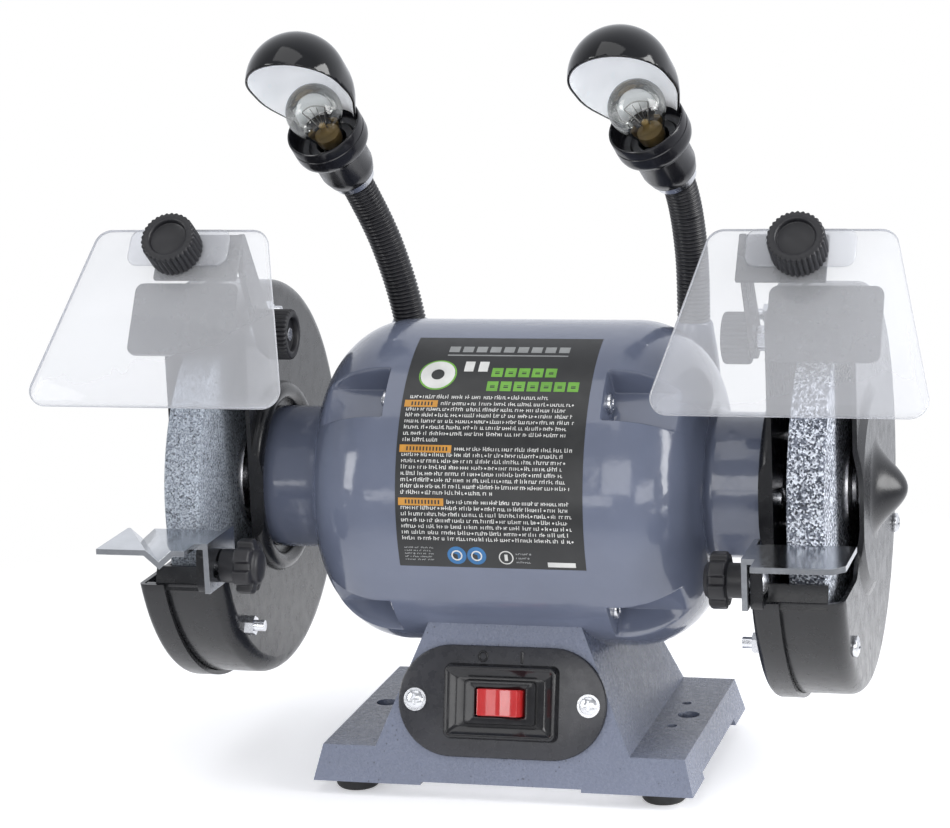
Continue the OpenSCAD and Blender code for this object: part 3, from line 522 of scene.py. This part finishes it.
def end_bell(side, sign):
    """The cast bell: a round shoulder, a neck, and four sunk pockets whose edges are soft."""
    angles = motor_angles()
    outer = [(x, MOTOR_R) for x in (46, 47.5, 48.5, 49, 49.3, 49.6, 49.9, 50.2, 50.5, 50.8, 51.1, 51.5, 52)]
    outer += [(52 + BELL_ROUND * math.sin(a), MOTOR_R - BELL_ROUND + BELL_ROUND * math.cos(a))
              for a in np.radians(np.arange(1.5, 84, 1.5))]
    outer += [(89.6, 38.6), (89.9, 36.6), (90.1, 35.2), (90.6, 34.1), (91.5, 33.4), (93, NECK_R)]
    outer += [(x, NECK_R) for x in (99, 105, 111, 117.6)] + [(118.3, 32.8), (118.6, 32.3)]
    inner = [(118.6, 11), (106, 11), (106, 17.5), (95, 17.5), (95, 24), (86, 24), (80, 44), (72, 54),
             (46, 54)]
    rings = []
    for x, r in outer:
        radius = np.full(len(angles), float(r))
        for c in POCKET_AT:
            away = np.abs((angles - c + 180) % 360 - 180)
            mask = ease((x - 49.4) / 1.6) * ease((10.3 - away) / 1.5)
            if c == REAR_TOP:
                mask = mask * ease((59 - x) / 1.6)
            deep = r - POCKET_FLOOR / np.cos(np.radians(np.minimum(away, 20)))
            radius -= mask * 0.5 * (deep + np.sqrt(deep * deep + 1))
        rings.append(motor_ring(sign * x, radius, angles))
    rings += [motor_ring(sign * x, np.full(len(angles), float(r)), angles) for x, r in inner]
    points, faces = rings_mesh(rings, loop=True)
    piece = build("end_bell_" + side + "_skin", points, faces, None, ["motor_paint"], 40)
    return dress(piece, "frame", "enamel_blue_grey", "end_bell_" + side)


shell_rings = [motor_ring(x, np.full(240, r), np.arange(0, 360, 1.5)) for x, r in (
    (-SHELL_HALF, MOTOR_R), (-20, MOTOR_R), (20, MOTOR_R), (SHELL_HALF, MOTOR_R),
    (SHELL_HALF, SHELL_INNER_R), (-SHELL_HALF, SHELL_INNER_R))]
shell_points, shell_faces = rings_mesh(shell_rings, loop=True)
dress(build("motor_shell_skin", shell_points, shell_faces, None, ["motor_paint"], 40),
      "frame", "enamel_blue_grey", "motor_shell")

BOSS = [(10.5, 148), (11.6, 158), (11.9, 168), (11.2, 178), (10.2, 186), (9.3, 192), (8.9, 195.4),
        (8.4, 196.6), (7.6, 197)]
for side, sign in SIDES:
    end_bell(side, sign)
    boss_place = Matrix.Translation((sign * BOSS_AT[0], BOSS_AT[1], 0))
    dress(lathe("lamp_boss_" + side, BOSS, boss_place, "motor_paint", 64), "frame", "enamel_blue_grey")


# ---------------------------------------------------------------- label, with strokes in place of words

LABEL_SPAN = (-41, 43.5, -18, 72.2)
LABEL_TOP = 0.12
INK_FOOT = 0.05
INK_TOP = 0.17
INK_OVER = 0.22
# each block of rows: angles of its first and last row, its rows, where its head and its last row end
BLOCKS = ((39.9, 26.6, 7, -24.5, -22), (23.6, 8.6, 8, -16, 4), (5.5, -7.4, 7, -19, 38))

def wrap(x0, x1, a0, a1, r0, r1):
    """A thin curved block on the motor between two X positions and two angles up from the front."""
    steps = max(1, int(abs(a1 - a0) / 2.5) + 1)
    rings = []
    for k in range(steps + 1):
        a = math.radians(a0 + (a1 - a0) * k / steps)
        rings.append([(x, -r * math.cos(a), SHAFT_Z + r * math.sin(a)) for x, r in
                      ((x0, r0), (x1, r0), (x1, r1), (x0, r1))])
    return rings_mesh(rings)


def disc_on_motor(x, a, radius, hole, height):
    """A flat disc or ring lying on the motor."""
    centre = math.radians(a)
    turn = np.arange(40) * TAU / 40

    def ring(rr, lift):
        points = []
        for t in turn:
            up = centre + rr * math.sin(t) / MOTOR_R
            r = MOTOR_R + lift
            points.append((x + rr * math.cos(t), -r * math.cos(up), SHAFT_Z + r * math.sin(up)))
        return points

    outside = [ring(radius, INK_FOOT), ring(radius, height)]
    if hole:
        return rings_mesh(outside + [ring(hole, height), ring(hole, INK_FOOT)], loop=True)
    return rings_mesh(outside)


def ink(x0, x1, a0, a1):
    return wrap(x0, x1, a0, a1, MOTOR_R + INK_FOOT, MOTOR_R + INK_TOP)


def make_label():
    rng = random.Random(7)
    dark, white, grey, green, amber, blue = range(6)
    parts = [(*wrap(*LABEL_SPAN, MOTOR_R - 0.3, MOTOR_R + LABEL_TOP), dark)]

    def put(shape, slot):
        parts.append((*shape, slot))

    def words(x0, x1, a, height=1.35, slot=white):
        """A row of short upright and level strokes, grouped like words."""
        tall = math.degrees(height / MOTOR_R)
        x = x0
        while x < x1 - 1:
            for _ in range(rng.randint(2, 8)):
                top = a + tall * rng.choice((1, 1, 1, 1.35))
                put(ink(x, x + 0.32, a, top), slot)
                if rng.random() < 0.75:
                    bar = rng.choice((0, 0.42, 0.8)) * tall
                    put(ink(x + 0.32, x + 0.85, a + bar, a + bar + 0.22), slot)
                x += rng.choice((0.8, 0.95, 1.1))
                if x > x1 - 1:
                    break
            x += 0.8
            if rng.random() < 0.12:
                put(disc_on_motor(x, a + tall * 0.5, 0.45, 0, INK_TOP), slot)
                x += 1.2

    for k in range(9):
        put(ink(-25 + 6.3 * k, -20.2 + 6.3 * k, 63.2, 66.4), grey)
    put(ink(-25, 30.2, 61.2, 61.8), grey)
    put(disc_on_motor(-27, 52, 8.6, 0, INK_TOP), green)
    put(disc_on_motor(-27, 52, 7.8, 3.0, INK_OVER), white)
    for k in range(2):
        put(ink(-15.5 + 6.5 * k, -11.2 + 6.5 * k, 53.5, 58.2), white)
    for x, x1, a0, a1 in ((-2.5, 31.5, 51.2, 55.2), (-3.5, 40.5, 45.2, 49.2)):
        while x < x1 - 4:
            put(ink(x, x + 5.0, a0, a1), green)
            put(ink(x + 1.5, x + 3.6, a0 + 1.3, a1 - 1.6), dark)
            x += 6.1
    words(-37.5, 25.5, 41.9, 1.5)
    for top, bottom, rows, head, last in BLOCKS:
        for k in range(rows):
            a = top + (bottom - top) * k / (rows - 1) - 0.5
            end = last if k == rows - 1 else 34 + rng.random() * 6
            words(head + 1.5 if k == 0 else -38.5, end, a)
        put(ink(-39.6, head, top - 1.3, top + 1.3), amber)
        for k in range(int((head + 36) / 1.5)):
            x = -36.5 + 1.5 * k
            put(wrap(x, x + 0.7, top - 0.7, top + 0.7, MOTOR_R + 0.1, MOTOR_R + 0.21), dark)
    for k in range(5):
        words(-38, -24, -11 - 1.15 * k, 0.5, grey)
    for x in (-14.3, -5.3):
        put(disc_on_motor(x, -13.4, 4.3, 0, INK_TOP), blue)
        put(disc_on_motor(x, -13.4, 2.5, 1.9, INK_OVER), white)
    put(disc_on_motor(8, -13.8, 3.3, 2.8, INK_TOP), white)
    put(ink(7.3, 8.7, -15, -12.6), white)
    for k in range(3):
        words(12.5, 20, -12.6 - 1.6 * k, 0.7, grey)
    put(ink(26.5, 39, -17, -15.2), white)
    return joined("motor_label", parts,
                  ["label_dark", "ink_white", "ink_grey", "ink_green", "ink_amber", "ink_blue"])


dress(make_label(), "frame", "black_gloss_plastic")


# ---------------------------------------------------------------- switch

def shifted(shape, x, y):
    points, faces = shape
    return np.asarray(points, float) + np.array([x, y, 0]), faces


def make_switch_plate():
    """The oval plate, with a ring and a bar standing on it above the rocker."""
    plate = rings_mesh([round_rect(96, 50, 25, 0.02, 24), round_rect(96, 50, 25, 1.1, 24),
                        round_rect(95.4, 49.4, 24.7, 1.6, 24), round_rect(94.4, 48.4, 24.2, 1.8, 24),
                        round_rect(30, 17, 1, 1.8, 24), round_rect(30, 17, 1, 0.02, 24)], loop=True)
    turn = np.arange(32) * TAU / 32
    section = ((2.3, 1.7), (2.3, 2.2), (2.15, 2.35), (1.6, 2.35), (1.45, 2.2), (1.45, 1.7))
    rings = [[(r * math.cos(t), r * 1.15 * math.sin(t), z) for t in turn] for r, z in section]
    ring = rings_mesh(rings, loop=True)
    bar = rings_mesh([round_rect(1.1, 5.2, 0.55 / 2, 1.7), round_rect(1.1, 5.2, 0.55 / 2, 2.2),
                      round_rect(0.8, 4.9, 0.55 / 3, 2.35)])
    parts = [(*plate, 0), (*shifted(ring, -9, 20.3), 1), (*shifted(bar, 9, 20.3), 1)]
    return joined("switch_plate_moulding", parts, ["plate_black", "bezel_black"], PANEL)


def make_bezel():
    sizes = ((53, 34, 3.2, 1.6), (52.6, 33.6, 3, 2.2), (51.4, 32.4, 2.8, 5.6), (50.8, 31.8, 2.6, 6.2),
             (49.8, 30.8, 2.2, 6.5), (48.6, 29.6, 1.8, 6.4), (48.0, 29.0, 1.6, 6.0), (40.4, 22.4, 1.4, 3.6),
             (39.6, 21.6, 1.6, 3.5), (30, 17, 1, 3.5), (30, 17, 1, 1.6))
    points, faces = rings_mesh([round_rect(*size) for size in sizes], loop=True)
    return build("switch_bezel", points, faces, PANEL, ["bezel_black"], 50)


def make_switch_body():
    sizes = ((29.6, 16.6, 0.6, -16), (29.6, 16.6, 0.6, 3.4), (33, 19.6, 1.6, 3.5), (33, 19.6, 1.6, 5.0),
             (32.4, 19, 1.4, 5.5), (24.6, 14.4, 0.8, 5.5), (22.9, 12.9, 0.6, 4.9), (22.6, 12.6, 0.5, 4.4),
             (22.6, 12.6, 0.5, -5.5))
    prong = rings_mesh([round_rect(0.8, 4.8, 0.1, -22, 2), round_rect(0.8, 4.8, 0.1, -15.5, 2)])
    parts = [(*rings_mesh([round_rect(*size) for size in sizes]), 0)]
    parts += [(*shifted(prong, x, 0), 1) for x in (-9, 0, 9)]
    return joined("switch_body_moulding", parts, ["bezel_black", "zinc"], PANEL, 40)


def make_rocker():
    """Two sloping faces with rounded edges, its left end pressed in."""
    outline = [(-9.2, -4.5), (9.2, -4.5), (10.5, -2), (10.9, 1), (10.3, 4.2), (9.6, 5.6), (8.8, 5.75),
               (5, 5.0), (1.2, 4.2), (0, 4.0), (-1.2, 4.2), (-5, 5.0), (-8.8, 5.75), (-9.6, 5.6),
               (-10.3, 4.2), (-10.9, 1), (-10.5, -2)]
    rings = []
    for w, shrink in ((-6.0, 0.4), (-5.6, 0), (5.6, 0), (6.0, 0.4)):
        rings.append([(x * (1 - shrink / 11), w, 1.5 + z * (1 - shrink / 6)) for x, z in outline])
    points, faces = rings_mesh(rings)
    pivot = Matrix.Translation((0, 0, 1.5))
    tilt = pivot @ Matrix.Rotation(math.radians(-8), 4, "Y") @ pivot.inverted()
    return build("rocker_moulding", points, faces, PANEL @ tilt, ["rocker_red_painted_glow"], 30)


dress(make_switch_plate(), "frame", "black_gloss_plastic", "switch_plate")
dress(make_bezel(), "frame", "black_gloss_plastic")
dress(make_switch_body(), "frame", "black_gloss_plastic", "switch_body")
dress(make_rocker(), "rocker", "red_rocker", "switch_rocker")


# ---------------------------------------------------------------- knobs

FLUTES = 32
FLUTE_DEPTH = 0.85


def fluted(radius):
    """Ripple of a knob's flutes, fading out where the knob is narrower than its rim."""
    def ripple(turn, z, r):
        wave = 0.5 + 0.5 * math.cos(turn * FLUTES)
        share = min(1, max(0, (r - radius * 0.9) / (radius * 0.08)))
        return r - FLUTE_DEPTH * share * (1 - wave ** 0.6 if wave > 0 else 1)
    return ripple


def make_fluted_knob(name, r, h, place):
    profile = [(r * 0.80, 0), (r * 0.94, 0), (r * 0.985, 0.5), (r, 1.2), (r, h * 0.5), (r, h - 1.3),
               (r * 0.985, h - 0.6), (r * 0.95, h - 0.15), (r * 0.90, h), (r * 0.73, h), (r * 0.69, h - 0.3),
               (r * 0.665, h - 0.9), (r * 0.65, h - 2.4), (r * 0.60, h - 2.7), (r * 0.2, h - 2.7),
               (r * 0.05, h - 2.6)]
    return lathe(name, profile, place, "knob_black", FLUTES * 8, False, fluted(r), 50)


def star(turn, z, r):
    """Seven square-cornered lobes where the head is wide."""
    if r < STAR_SHAFT_R:
        return r
    wave = math.cos(turn * LOBES)
    notch = 1 / (1 + math.exp((wave + 0.35) * 14))
    return r - 2.3 * notch * min(1, (r - STAR_SHAFT_R) / 2)


LOBES = 7
STAR_SHAFT_R = 8.6
STAR_PROFILE = [(6.9, 0.1), (7.4, 0.3), (7.5, 0.9), (7.5, 7.2), (7.8, 7.8), (9.4, 8.1), (11.6, 8.2),
                (12.1, 8.6), (12.3, 9.3), (12.3, 14.2), (12.0, 15.0), (11.4, 15.5), (10.4, 15.8),
                (8.5, 15.95), (7.8, 16.2), (7.4, 17.2), (6.8, 17.9), (5.2, 18.4), (2.5, 18.7), (0.3, 18.8)]

for side, sign in SIDES:
    inward = Matrix.Rotation(math.radians(-90), 4, "Y")
    arm_place = mirrored(sign) @ Matrix.Translation(ARM_KNOB) @ inward
    rest_place = mirrored(sign) @ Matrix.Translation(REST_KNOB) @ inward
    dress(make_fluted_knob("arm_knob_moulding_" + side, 11.5, 12, arm_place), "arm_knob_" + side,
          "black_matte_plastic", "arm_knob_" + side)
    top_place = stud_frame(sign) @ Matrix.Translation((0, 0, SHIELD_KNOB_UP))
    dress(make_fluted_knob("shield_knob_moulding_" + side, 12.4, 14, top_place), "shield_knob_" + side,
          "black_matte_plastic", "shield_knob_" + side)
    star_knob = lathe("rest_knob_moulding_" + side, STAR_PROFILE, rest_place, "knob_black", LOBES * 40,
                      False, star, 50)
    dress(star_knob, "rest_knob_" + side, "black_matte_plastic", "rest_knob_" + side)


# ---------------------------------------------------------------- eye shields

SHIELD_CORNERS = ((39.5, 12), (-39.5, 12), (-60, -75), (60, -75))
SHIELD_CORNER_R = 8.0


def trapezoid(inset, z, steps=10):
    """A ring round the shield's outline, in from its edge by inset; its corners are round."""
    r = SHIELD_CORNER_R
    ring = []
    for k in range(4):
        p, before, after = (Vector(SHIELD_CORNERS[(k + d) % 4]) for d in (0, -1, 1))
        a, b = (before - p).normalized(), (after - p).normalized()
        half = a.angle(b) / 2
        centre = p + (a + b).normalized() * (r / math.sin(half))
        touch = p + a * (r / math.tan(half)) - centre
        first = math.atan2(touch.y, touch.x)
        for s in range(steps + 1):
            t = first + (math.pi - 2 * half) * s / steps
            ring.append((centre.x + (r - inset) * math.cos(t), centre.y + (r - inset) * math.sin(t), z))
    return ring


def make_shield(side, sign):
    plate = rings_mesh([trapezoid(0.7, 0), trapezoid(0.2, 0.2), trapezoid(0, 0.7), trapezoid(0, 2.3),
                        trapezoid(0.2, 2.8), trapezoid(0.7, 3)])
    pad = rings_mesh([[(x, y + 2.6, z) for x, y, z in round_rect(w, h, 5, z)]
                      for w, h, z in ((47, 18, 2.9), (47, 18, 3.4), (46.4, 17.4, 3.8), (45.2, 16.2, 4.0))])
    piece = joined("eye_shield_sheet_" + side, [(*plate, 0), (*pad, 0)], ["shield"], stud_frame(sign), 50)
    return dress(piece, "shield_" + side, "clear_plastic", "eye_shield_" + side)


for side, sign in SIDES:
    make_shield(side, sign)


# ---------------------------------------------------------------- goosenecks

SLEEVE_R = 7.75
SLEEVE_FOOT = 195.5
RIB_DEPTH = 0.75
PITCH = 1.9
SPAN_STEPS = 200


def neck_path(side):
    """Evenly spaced points up the middle of a gooseneck, how far along each is, and where its joints are."""
    p0, p1, p2 = (Vector(p) for p in NECKS[side])
    axis = (head_frame(side).to_3x3() @ Vector((0, 0, 1))).normalized()
    knots = [Vector((p0.x, p0.y, SLEEVE_FOOT)), p1, p2, p2 + axis * 3.6]
    tangents = [((knots[1] - knots[0]).normalized() + Vector((0, 0, 0.6))).normalized(),
                (knots[2] - knots[0]).normalized(),
                ((knots[2] - knots[1]).normalized() + axis).normalized(), axis]
    dense = []
    for k in range(3):
        a, b = knots[k], knots[k + 1]
        length = (b - a).length
        for s in np.linspace(0, 1, SPAN_STEPS, endpoint=k == 2):
            h = (2 * s ** 3 - 3 * s ** 2 + 1, s ** 3 - 2 * s ** 2 + s,
                 -2 * s ** 3 + 3 * s ** 2, s ** 3 - s ** 2)
            dense.append(a * h[0] + tangents[k] * length * h[1] + b * h[2] + tangents[k + 1] * length * h[3])
    pts = np.array(dense)
    run = np.concatenate([[0], np.cumsum(np.linalg.norm(np.diff(pts, axis=0), axis=1))])
    even = np.arange(0, run[-1], PITCH / 8)
    line = np.stack([np.interp(even, run, pts[:, k]) for k in range(3)], 1)
    return line, even, (run[SPAN_STEPS], run[2 * SPAN_STEPS])


def corrugated(name, line, even, first, last):
    """The part of a ribbed sleeve between two places on its path."""
    count = 56
    turn = np.arange(count) * TAU / count
    direction = np.gradient(line, axis=0)
    direction /= np.linalg.norm(direction, axis=1)[:, None]
    side_way = np.cross(direction, np.array([0.0, 1.0, 0.0]))
    side_way /= np.linalg.norm(side_way, axis=1)[:, None]
    other = np.cross(direction, side_way)
    rings = []
    for k in range(first, last + 1):
        wave = 0.5 + 0.5 * np.cos(TAU * (even[k] / PITCH) + turn)
        radius = SLEEVE_R - RIB_DEPTH * wave ** 2
        around = np.cos(turn)[:, None] * side_way[k] + np.sin(turn)[:, None] * other[k]
        rings.append(line[k] + radius[:, None] * around)
    points, faces = rings_mesh(rings)
    return build(name, points, faces, None, ["sleeve_black"], 80)


for side, _ in SIDES:
    line, even, joints = neck_path(side)
    low = int(np.searchsorted(even, joints[0] * 0.55))
    high = int(np.searchsorted(even, (joints[0] + joints[1]) / 2))
    ends = (0, low, high, len(even) - 1)
    for k, part in enumerate(("root", "middle", "tip")):
        sleeve = corrugated("sleeve_" + part + "_" + side, line, even, ends[k], ends[k + 1])
        start, end = (tuple(line[ends[n]] * MM) for n in (k, k + 1))
        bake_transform(sleeve)
        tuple(start)
        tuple(end)
        if k:
            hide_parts(("neck_lower_", "neck_upper_")[k - 1] + side)


# ---------------------------------------------------------------- lamp heads

SOCKET = [(9.2, 1.5), (10.3, 1.6), (11.4, 2.6), (12.5, 6.2), (12.9, 8.0), (13.1, 18.5), (13.6, 19.5),
          (16.2, 21.6), (17.4, 23.4), (17.9, 25.2), (18.0, 27.0), (18.0, 30.2), (17.7, 30.5), (17.7, 31.1),
          (18.0, 31.4), (18.0, 35.2), (17.8, 35.8), (17.4, 36.0), (17.0, 35.8), (16.8, 35.2), (16.7, 27.5),
          (16.0, 26.4), (12.0, 26.0), (11.4, 25.4), (10.8, 26.0), (7.6, 26.0), (7.1, 25.4), (7.0, 9.0),
          (0.2, 9.0)]
RING = [(8.2, -1.7), (9.5, -1.7), (9.9, -1.4), (9.9, 1.4), (9.5, 1.7), (8.2, 1.7)]
GLOBE_S = 46
GLOBE_R = 13.2
HOOD_R = 23.3
HOOD_S = 66
HOOD_CUT = 14
HOOD_CUT_S = HOOD_S - 13
HOOD_ROLL = -11


def wire(points, radius, sides=8):
    """Points and faces of a thin bent wire."""
    line = [Vector(p) for p in points]
    rings = []
    for k, p in enumerate(line):
        ahead = (line[min(k + 1, len(line) - 1)] - line[max(k - 1, 0)]).normalized()
        across = ahead.orthogonal() if k == 0 else across - ahead * across.dot(ahead)
        across.normalize()
        other = ahead.cross(across)
        rings.append([p + (across * math.cos(t) + other * math.sin(t)) * radius
                      for t in (TAU * i / sides for i in range(sides))])
    return rings_mesh(rings)


def make_bulb(side, place):
    profile = [(6.2, 11), (6.4, 20), (6.6, 27), (7.3, 31), (8.8, 34.5)]
    profile += arc(0, GLOBE_S, GLOBE_R, -42, 89.5, 22)
    glass_piece = lathe("bulb_glass_" + side, profile, place, "bulb_glass", 64, False, None, 60)
    dress(glass_piece, "lamp_" + side, "clear_glass", "bulb_" + side)
    stem = [(5.8, 26), (6.2, 29), (6.0, 31), (3.0, 32.5), (1.9, 34), (1.5, 35.5), (1.7, 36.6), (1.2, 37.4),
            (0.2, 37.6)]
    dress(lathe("bulb_stem_" + side, stem, place, "amber", 32), "lamp_" + side, "clear_glass")
    parts = []
    for s in (-1, 1):
        lead = [(s * 1.5, 0, 31), (s * 1.8, 0, 36), (s * 3.2, 0, 41), (s * 5.4, 0.4, 46), (s * 5.6, 0.4, 47)]
        prop = [(s * 0.3, 0.2, 36), (s * 1.0, 0.6, 42), (s * 1.6, 1.0, 47.6)]
        parts += [(*wire(lead, 0.28), 0), (*wire(prop, 0.18), 0)]
    coil = []
    for k in range(97):
        u = k / 96
        t = u * TAU * 24
        rise = 47 + 2.2 * math.sin(math.pi * u)
        coil.append((-5.6 + 11.2 * u, 0.6 + 0.35 * math.cos(t), rise + 0.35 * math.sin(t)))
    parts.append((*wire(coil, 0.12, 6), 0))
    dress(joined("bulb_filament_" + side, parts, ["filament"], place, 60), "lamp_" + side, "machined_steel")


def make_hood(side, place):
    """A thin shell, black outside and white inside, open towards its front below a slanting cut."""
    profile = [(16.35, 30.5), (16.4, 36), (17.6, 38.5), (19.6, 43.5), (21.6, 48.5), (22.8, 53), (HOOD_R, 57),
               (HOOD_R, HOOD_S)]
    profile += arc(0, HOOD_S, HOOD_R, 5, 88.5, 18)
    count = 96
    turn = np.arange(count) * TAU / count
    rings = [np.stack([r * np.cos(turn), r * np.sin(turn), np.full(count, float(z))], 1) for r, z in profile]
    points, faces = rings_mesh(rings, caps=False)
    tip = len(points)
    points = np.concatenate([points, [[0, 0, HOOD_S + HOOD_R]]])
    faces += [(tip - count + k, tip - count + (k + 1) % count, tip) for k in range(count)]
    mesh = bpy.data.meshes.new("lamp_hood_shell_" + side)
    mesh.from_pydata((points * MM).tolist(), [], faces)
    bm = bmesh.new()
    bm.from_mesh(mesh)
    slope = math.radians(HOOD_CUT)
    normal = Vector((0, -math.cos(slope), -math.sin(slope)))
    bmesh.ops.bisect_plane(bm, geom=bm.verts[:] + bm.edges[:] + bm.faces[:], plane_no=normal,
                           plane_co=Vector((0, 0, HOOD_CUT_S * MM)), clear_outer=True, dist=1e-7)
    bmesh.ops.recalc_face_normals(bm, faces=bm.faces)
    if sum(f.normal.dot(f.calc_center_median() - Vector((0, 0, 0.045))) for f in bm.faces) < 0:
        bmesh.ops.reverse_faces(bm, faces=bm.faces)
    bm.transform(Matrix.Rotation(math.radians(HOOD_ROLL), 4, "Z"))
    frame_m = place.copy()
    frame_m.translation = place.translation * MM
    bm.transform(frame_m)
    bm.to_mesh(mesh)
    bm.free()
    mesh.materials.append(M["hood_black"])
    mesh.materials.append(M["hood_white_painted_glow"])
    mesh.polygons.foreach_set("use_smooth", [True] * len(mesh.polygons))
    piece = bpy.data.objects.new(mesh.name, mesh)
    bpy.context.scene.collection.objects.link(piece)
    solid = piece.modifiers.new("thickness", "SOLIDIFY")
    solid.thickness = 1.1 * MM
    solid.offset = -1
    solid.material_offset = 1
    solid.material_offset_rim = 0
    dress(piece, "hood_" + side, "hood_enamel", "lamp_hood_" + side)


for side, _ in SIDES:
    place = head_frame(side)
    socket = lathe("lamp_socket_shell_" + side, SOCKET, place, "socket_black", 72, False, None, 40)
    dress(socket, "lamp_" + side, "black_matte_plastic", "lamp_socket_" + side)
    dress(lathe("lamp_ring_" + side, RING, place, "zinc", 64, True), "lamp_" + side, "zinc_plate")
    make_bulb(side, place)
    make_hood(side, place)


# ---------------------------------------------------------------- studio

def make_floor():
    """A pale floor that fades into the white behind it."""
    g = Graph("floor")
    tint = g.mix(g.noise(3), rgb(0.93, 0.93, 0.94), rgb(0.95, 0.95, 0.96))
    pale = g.add("ShaderNodeBsdfPrincipled", {"Base Color": tint, "Roughness": 0.8, "Emission Color": tint,
                                             "Emission Strength": 0.35})
    away = g.add("ShaderNodeVectorMath", operation="LENGTH")
    g.set(away.inputs[0], g.place)
    g.blend(g.span(away.outputs["Value"], 0.0, 1.0, 0.22, 0.50), pale, g.add("ShaderNodeBsdfTransparent"))
    mesh = bpy.data.meshes.new("floor")
    mesh.from_pydata([(-3, -3, 0), (3, -3, 0), (3, 3, 0), (-3, 3, 0)], [], [(0, 1, 2, 3)])
    mesh.materials.append(g.mat)
    floor = bpy.data.objects.new("floor", mesh)
    bpy.context.scene.collection.objects.link(floor)


def softbox(name, place, aim, size, radiance):
    light = bpy.data.lights.new(name, "AREA")
    light.shape = "RECTANGLE"
    light.size, light.size_y = size
    light.energy = radiance * math.pi * size[0] * size[1]
    obj = bpy.data.objects.new(name, light)
    obj.location = place
    obj.rotation_euler = (Vector(aim) - Vector(place)).to_track_quat("-Z", "Y").to_euler()
    obj.visible_camera = False
    bpy.context.scene.collection.objects.link(obj)


def make_world():
    """White where the camera looks past the object; elsewhere a room that is brighter behind it."""
    world = bpy.data.worlds.new("studio")
    bpy.context.scene.world = world
    world.use_nodes = True
    tree = world.node_tree
    tree.nodes.clear()
    kinds = ("OutputWorld", "TexCoord", "SeparateXYZ", "MapRange", "LightPath", "MixShader")
    out, way, axes, wash, path, both = (tree.nodes.new("ShaderNode" + kind) for kind in kinds)
    room, seen = (tree.nodes.new("ShaderNodeBackground") for _ in range(2))
    seen.inputs["Color"].default_value = rgb(1, 1, 1)
    room.inputs["Color"].default_value = rgb(0.93, 0.95, 1.0)
    for key, value in (("From Min", -0.1), ("From Max", 0.7), ("To Min", 0.42), ("To Max", 1.0)):
        wash.inputs[key].default_value = value
    for start, end in ((way.outputs["Generated"], axes.inputs[0]), (axes.outputs["Y"], wash.inputs["Value"]),
                       (wash.outputs["Result"], room.inputs["Strength"]),
                       (path.outputs["Is Camera Ray"], both.inputs[0]), (room.outputs[0], both.inputs[1]),
                       (seen.outputs[0], both.inputs[2]), (both.outputs[0], out.inputs["Surface"])):
        tree.links.new(start, end)


make_floor()
make_world()
for name, place, aim, size, radiance in (
        ("top", (-0.3, -0.6, 1.8), (0, 0, 0.15), (1.5, 1.0), 1.2),
        ("right", (1.6, -0.15, 0.7), (0, 0, 0.15), (1.0, 1.3), 7.5),
        ("left", (-1.4, -1.1, 0.75), (0, 0, 0.15), (0.45, 1.2), 5.2),
        ("front", (0.35, -2.6, 0.9), (0, 0, 0.15), (1.8, 1.1), 2.6),
        ("low", (-0.5, -2.2, 0.15), (0, 0, 0.2), (1.2, 0.25), 2.4),
        ("side_low", (1.3, -1.3, 0.25), (0.05, 0, 0.1), (0.8, 0.4), 3.0)):
    softbox(name, place, aim, size, radiance)

view = bpy.context.scene.view_settings
view.view_transform = "Standard"
view.look = "None"
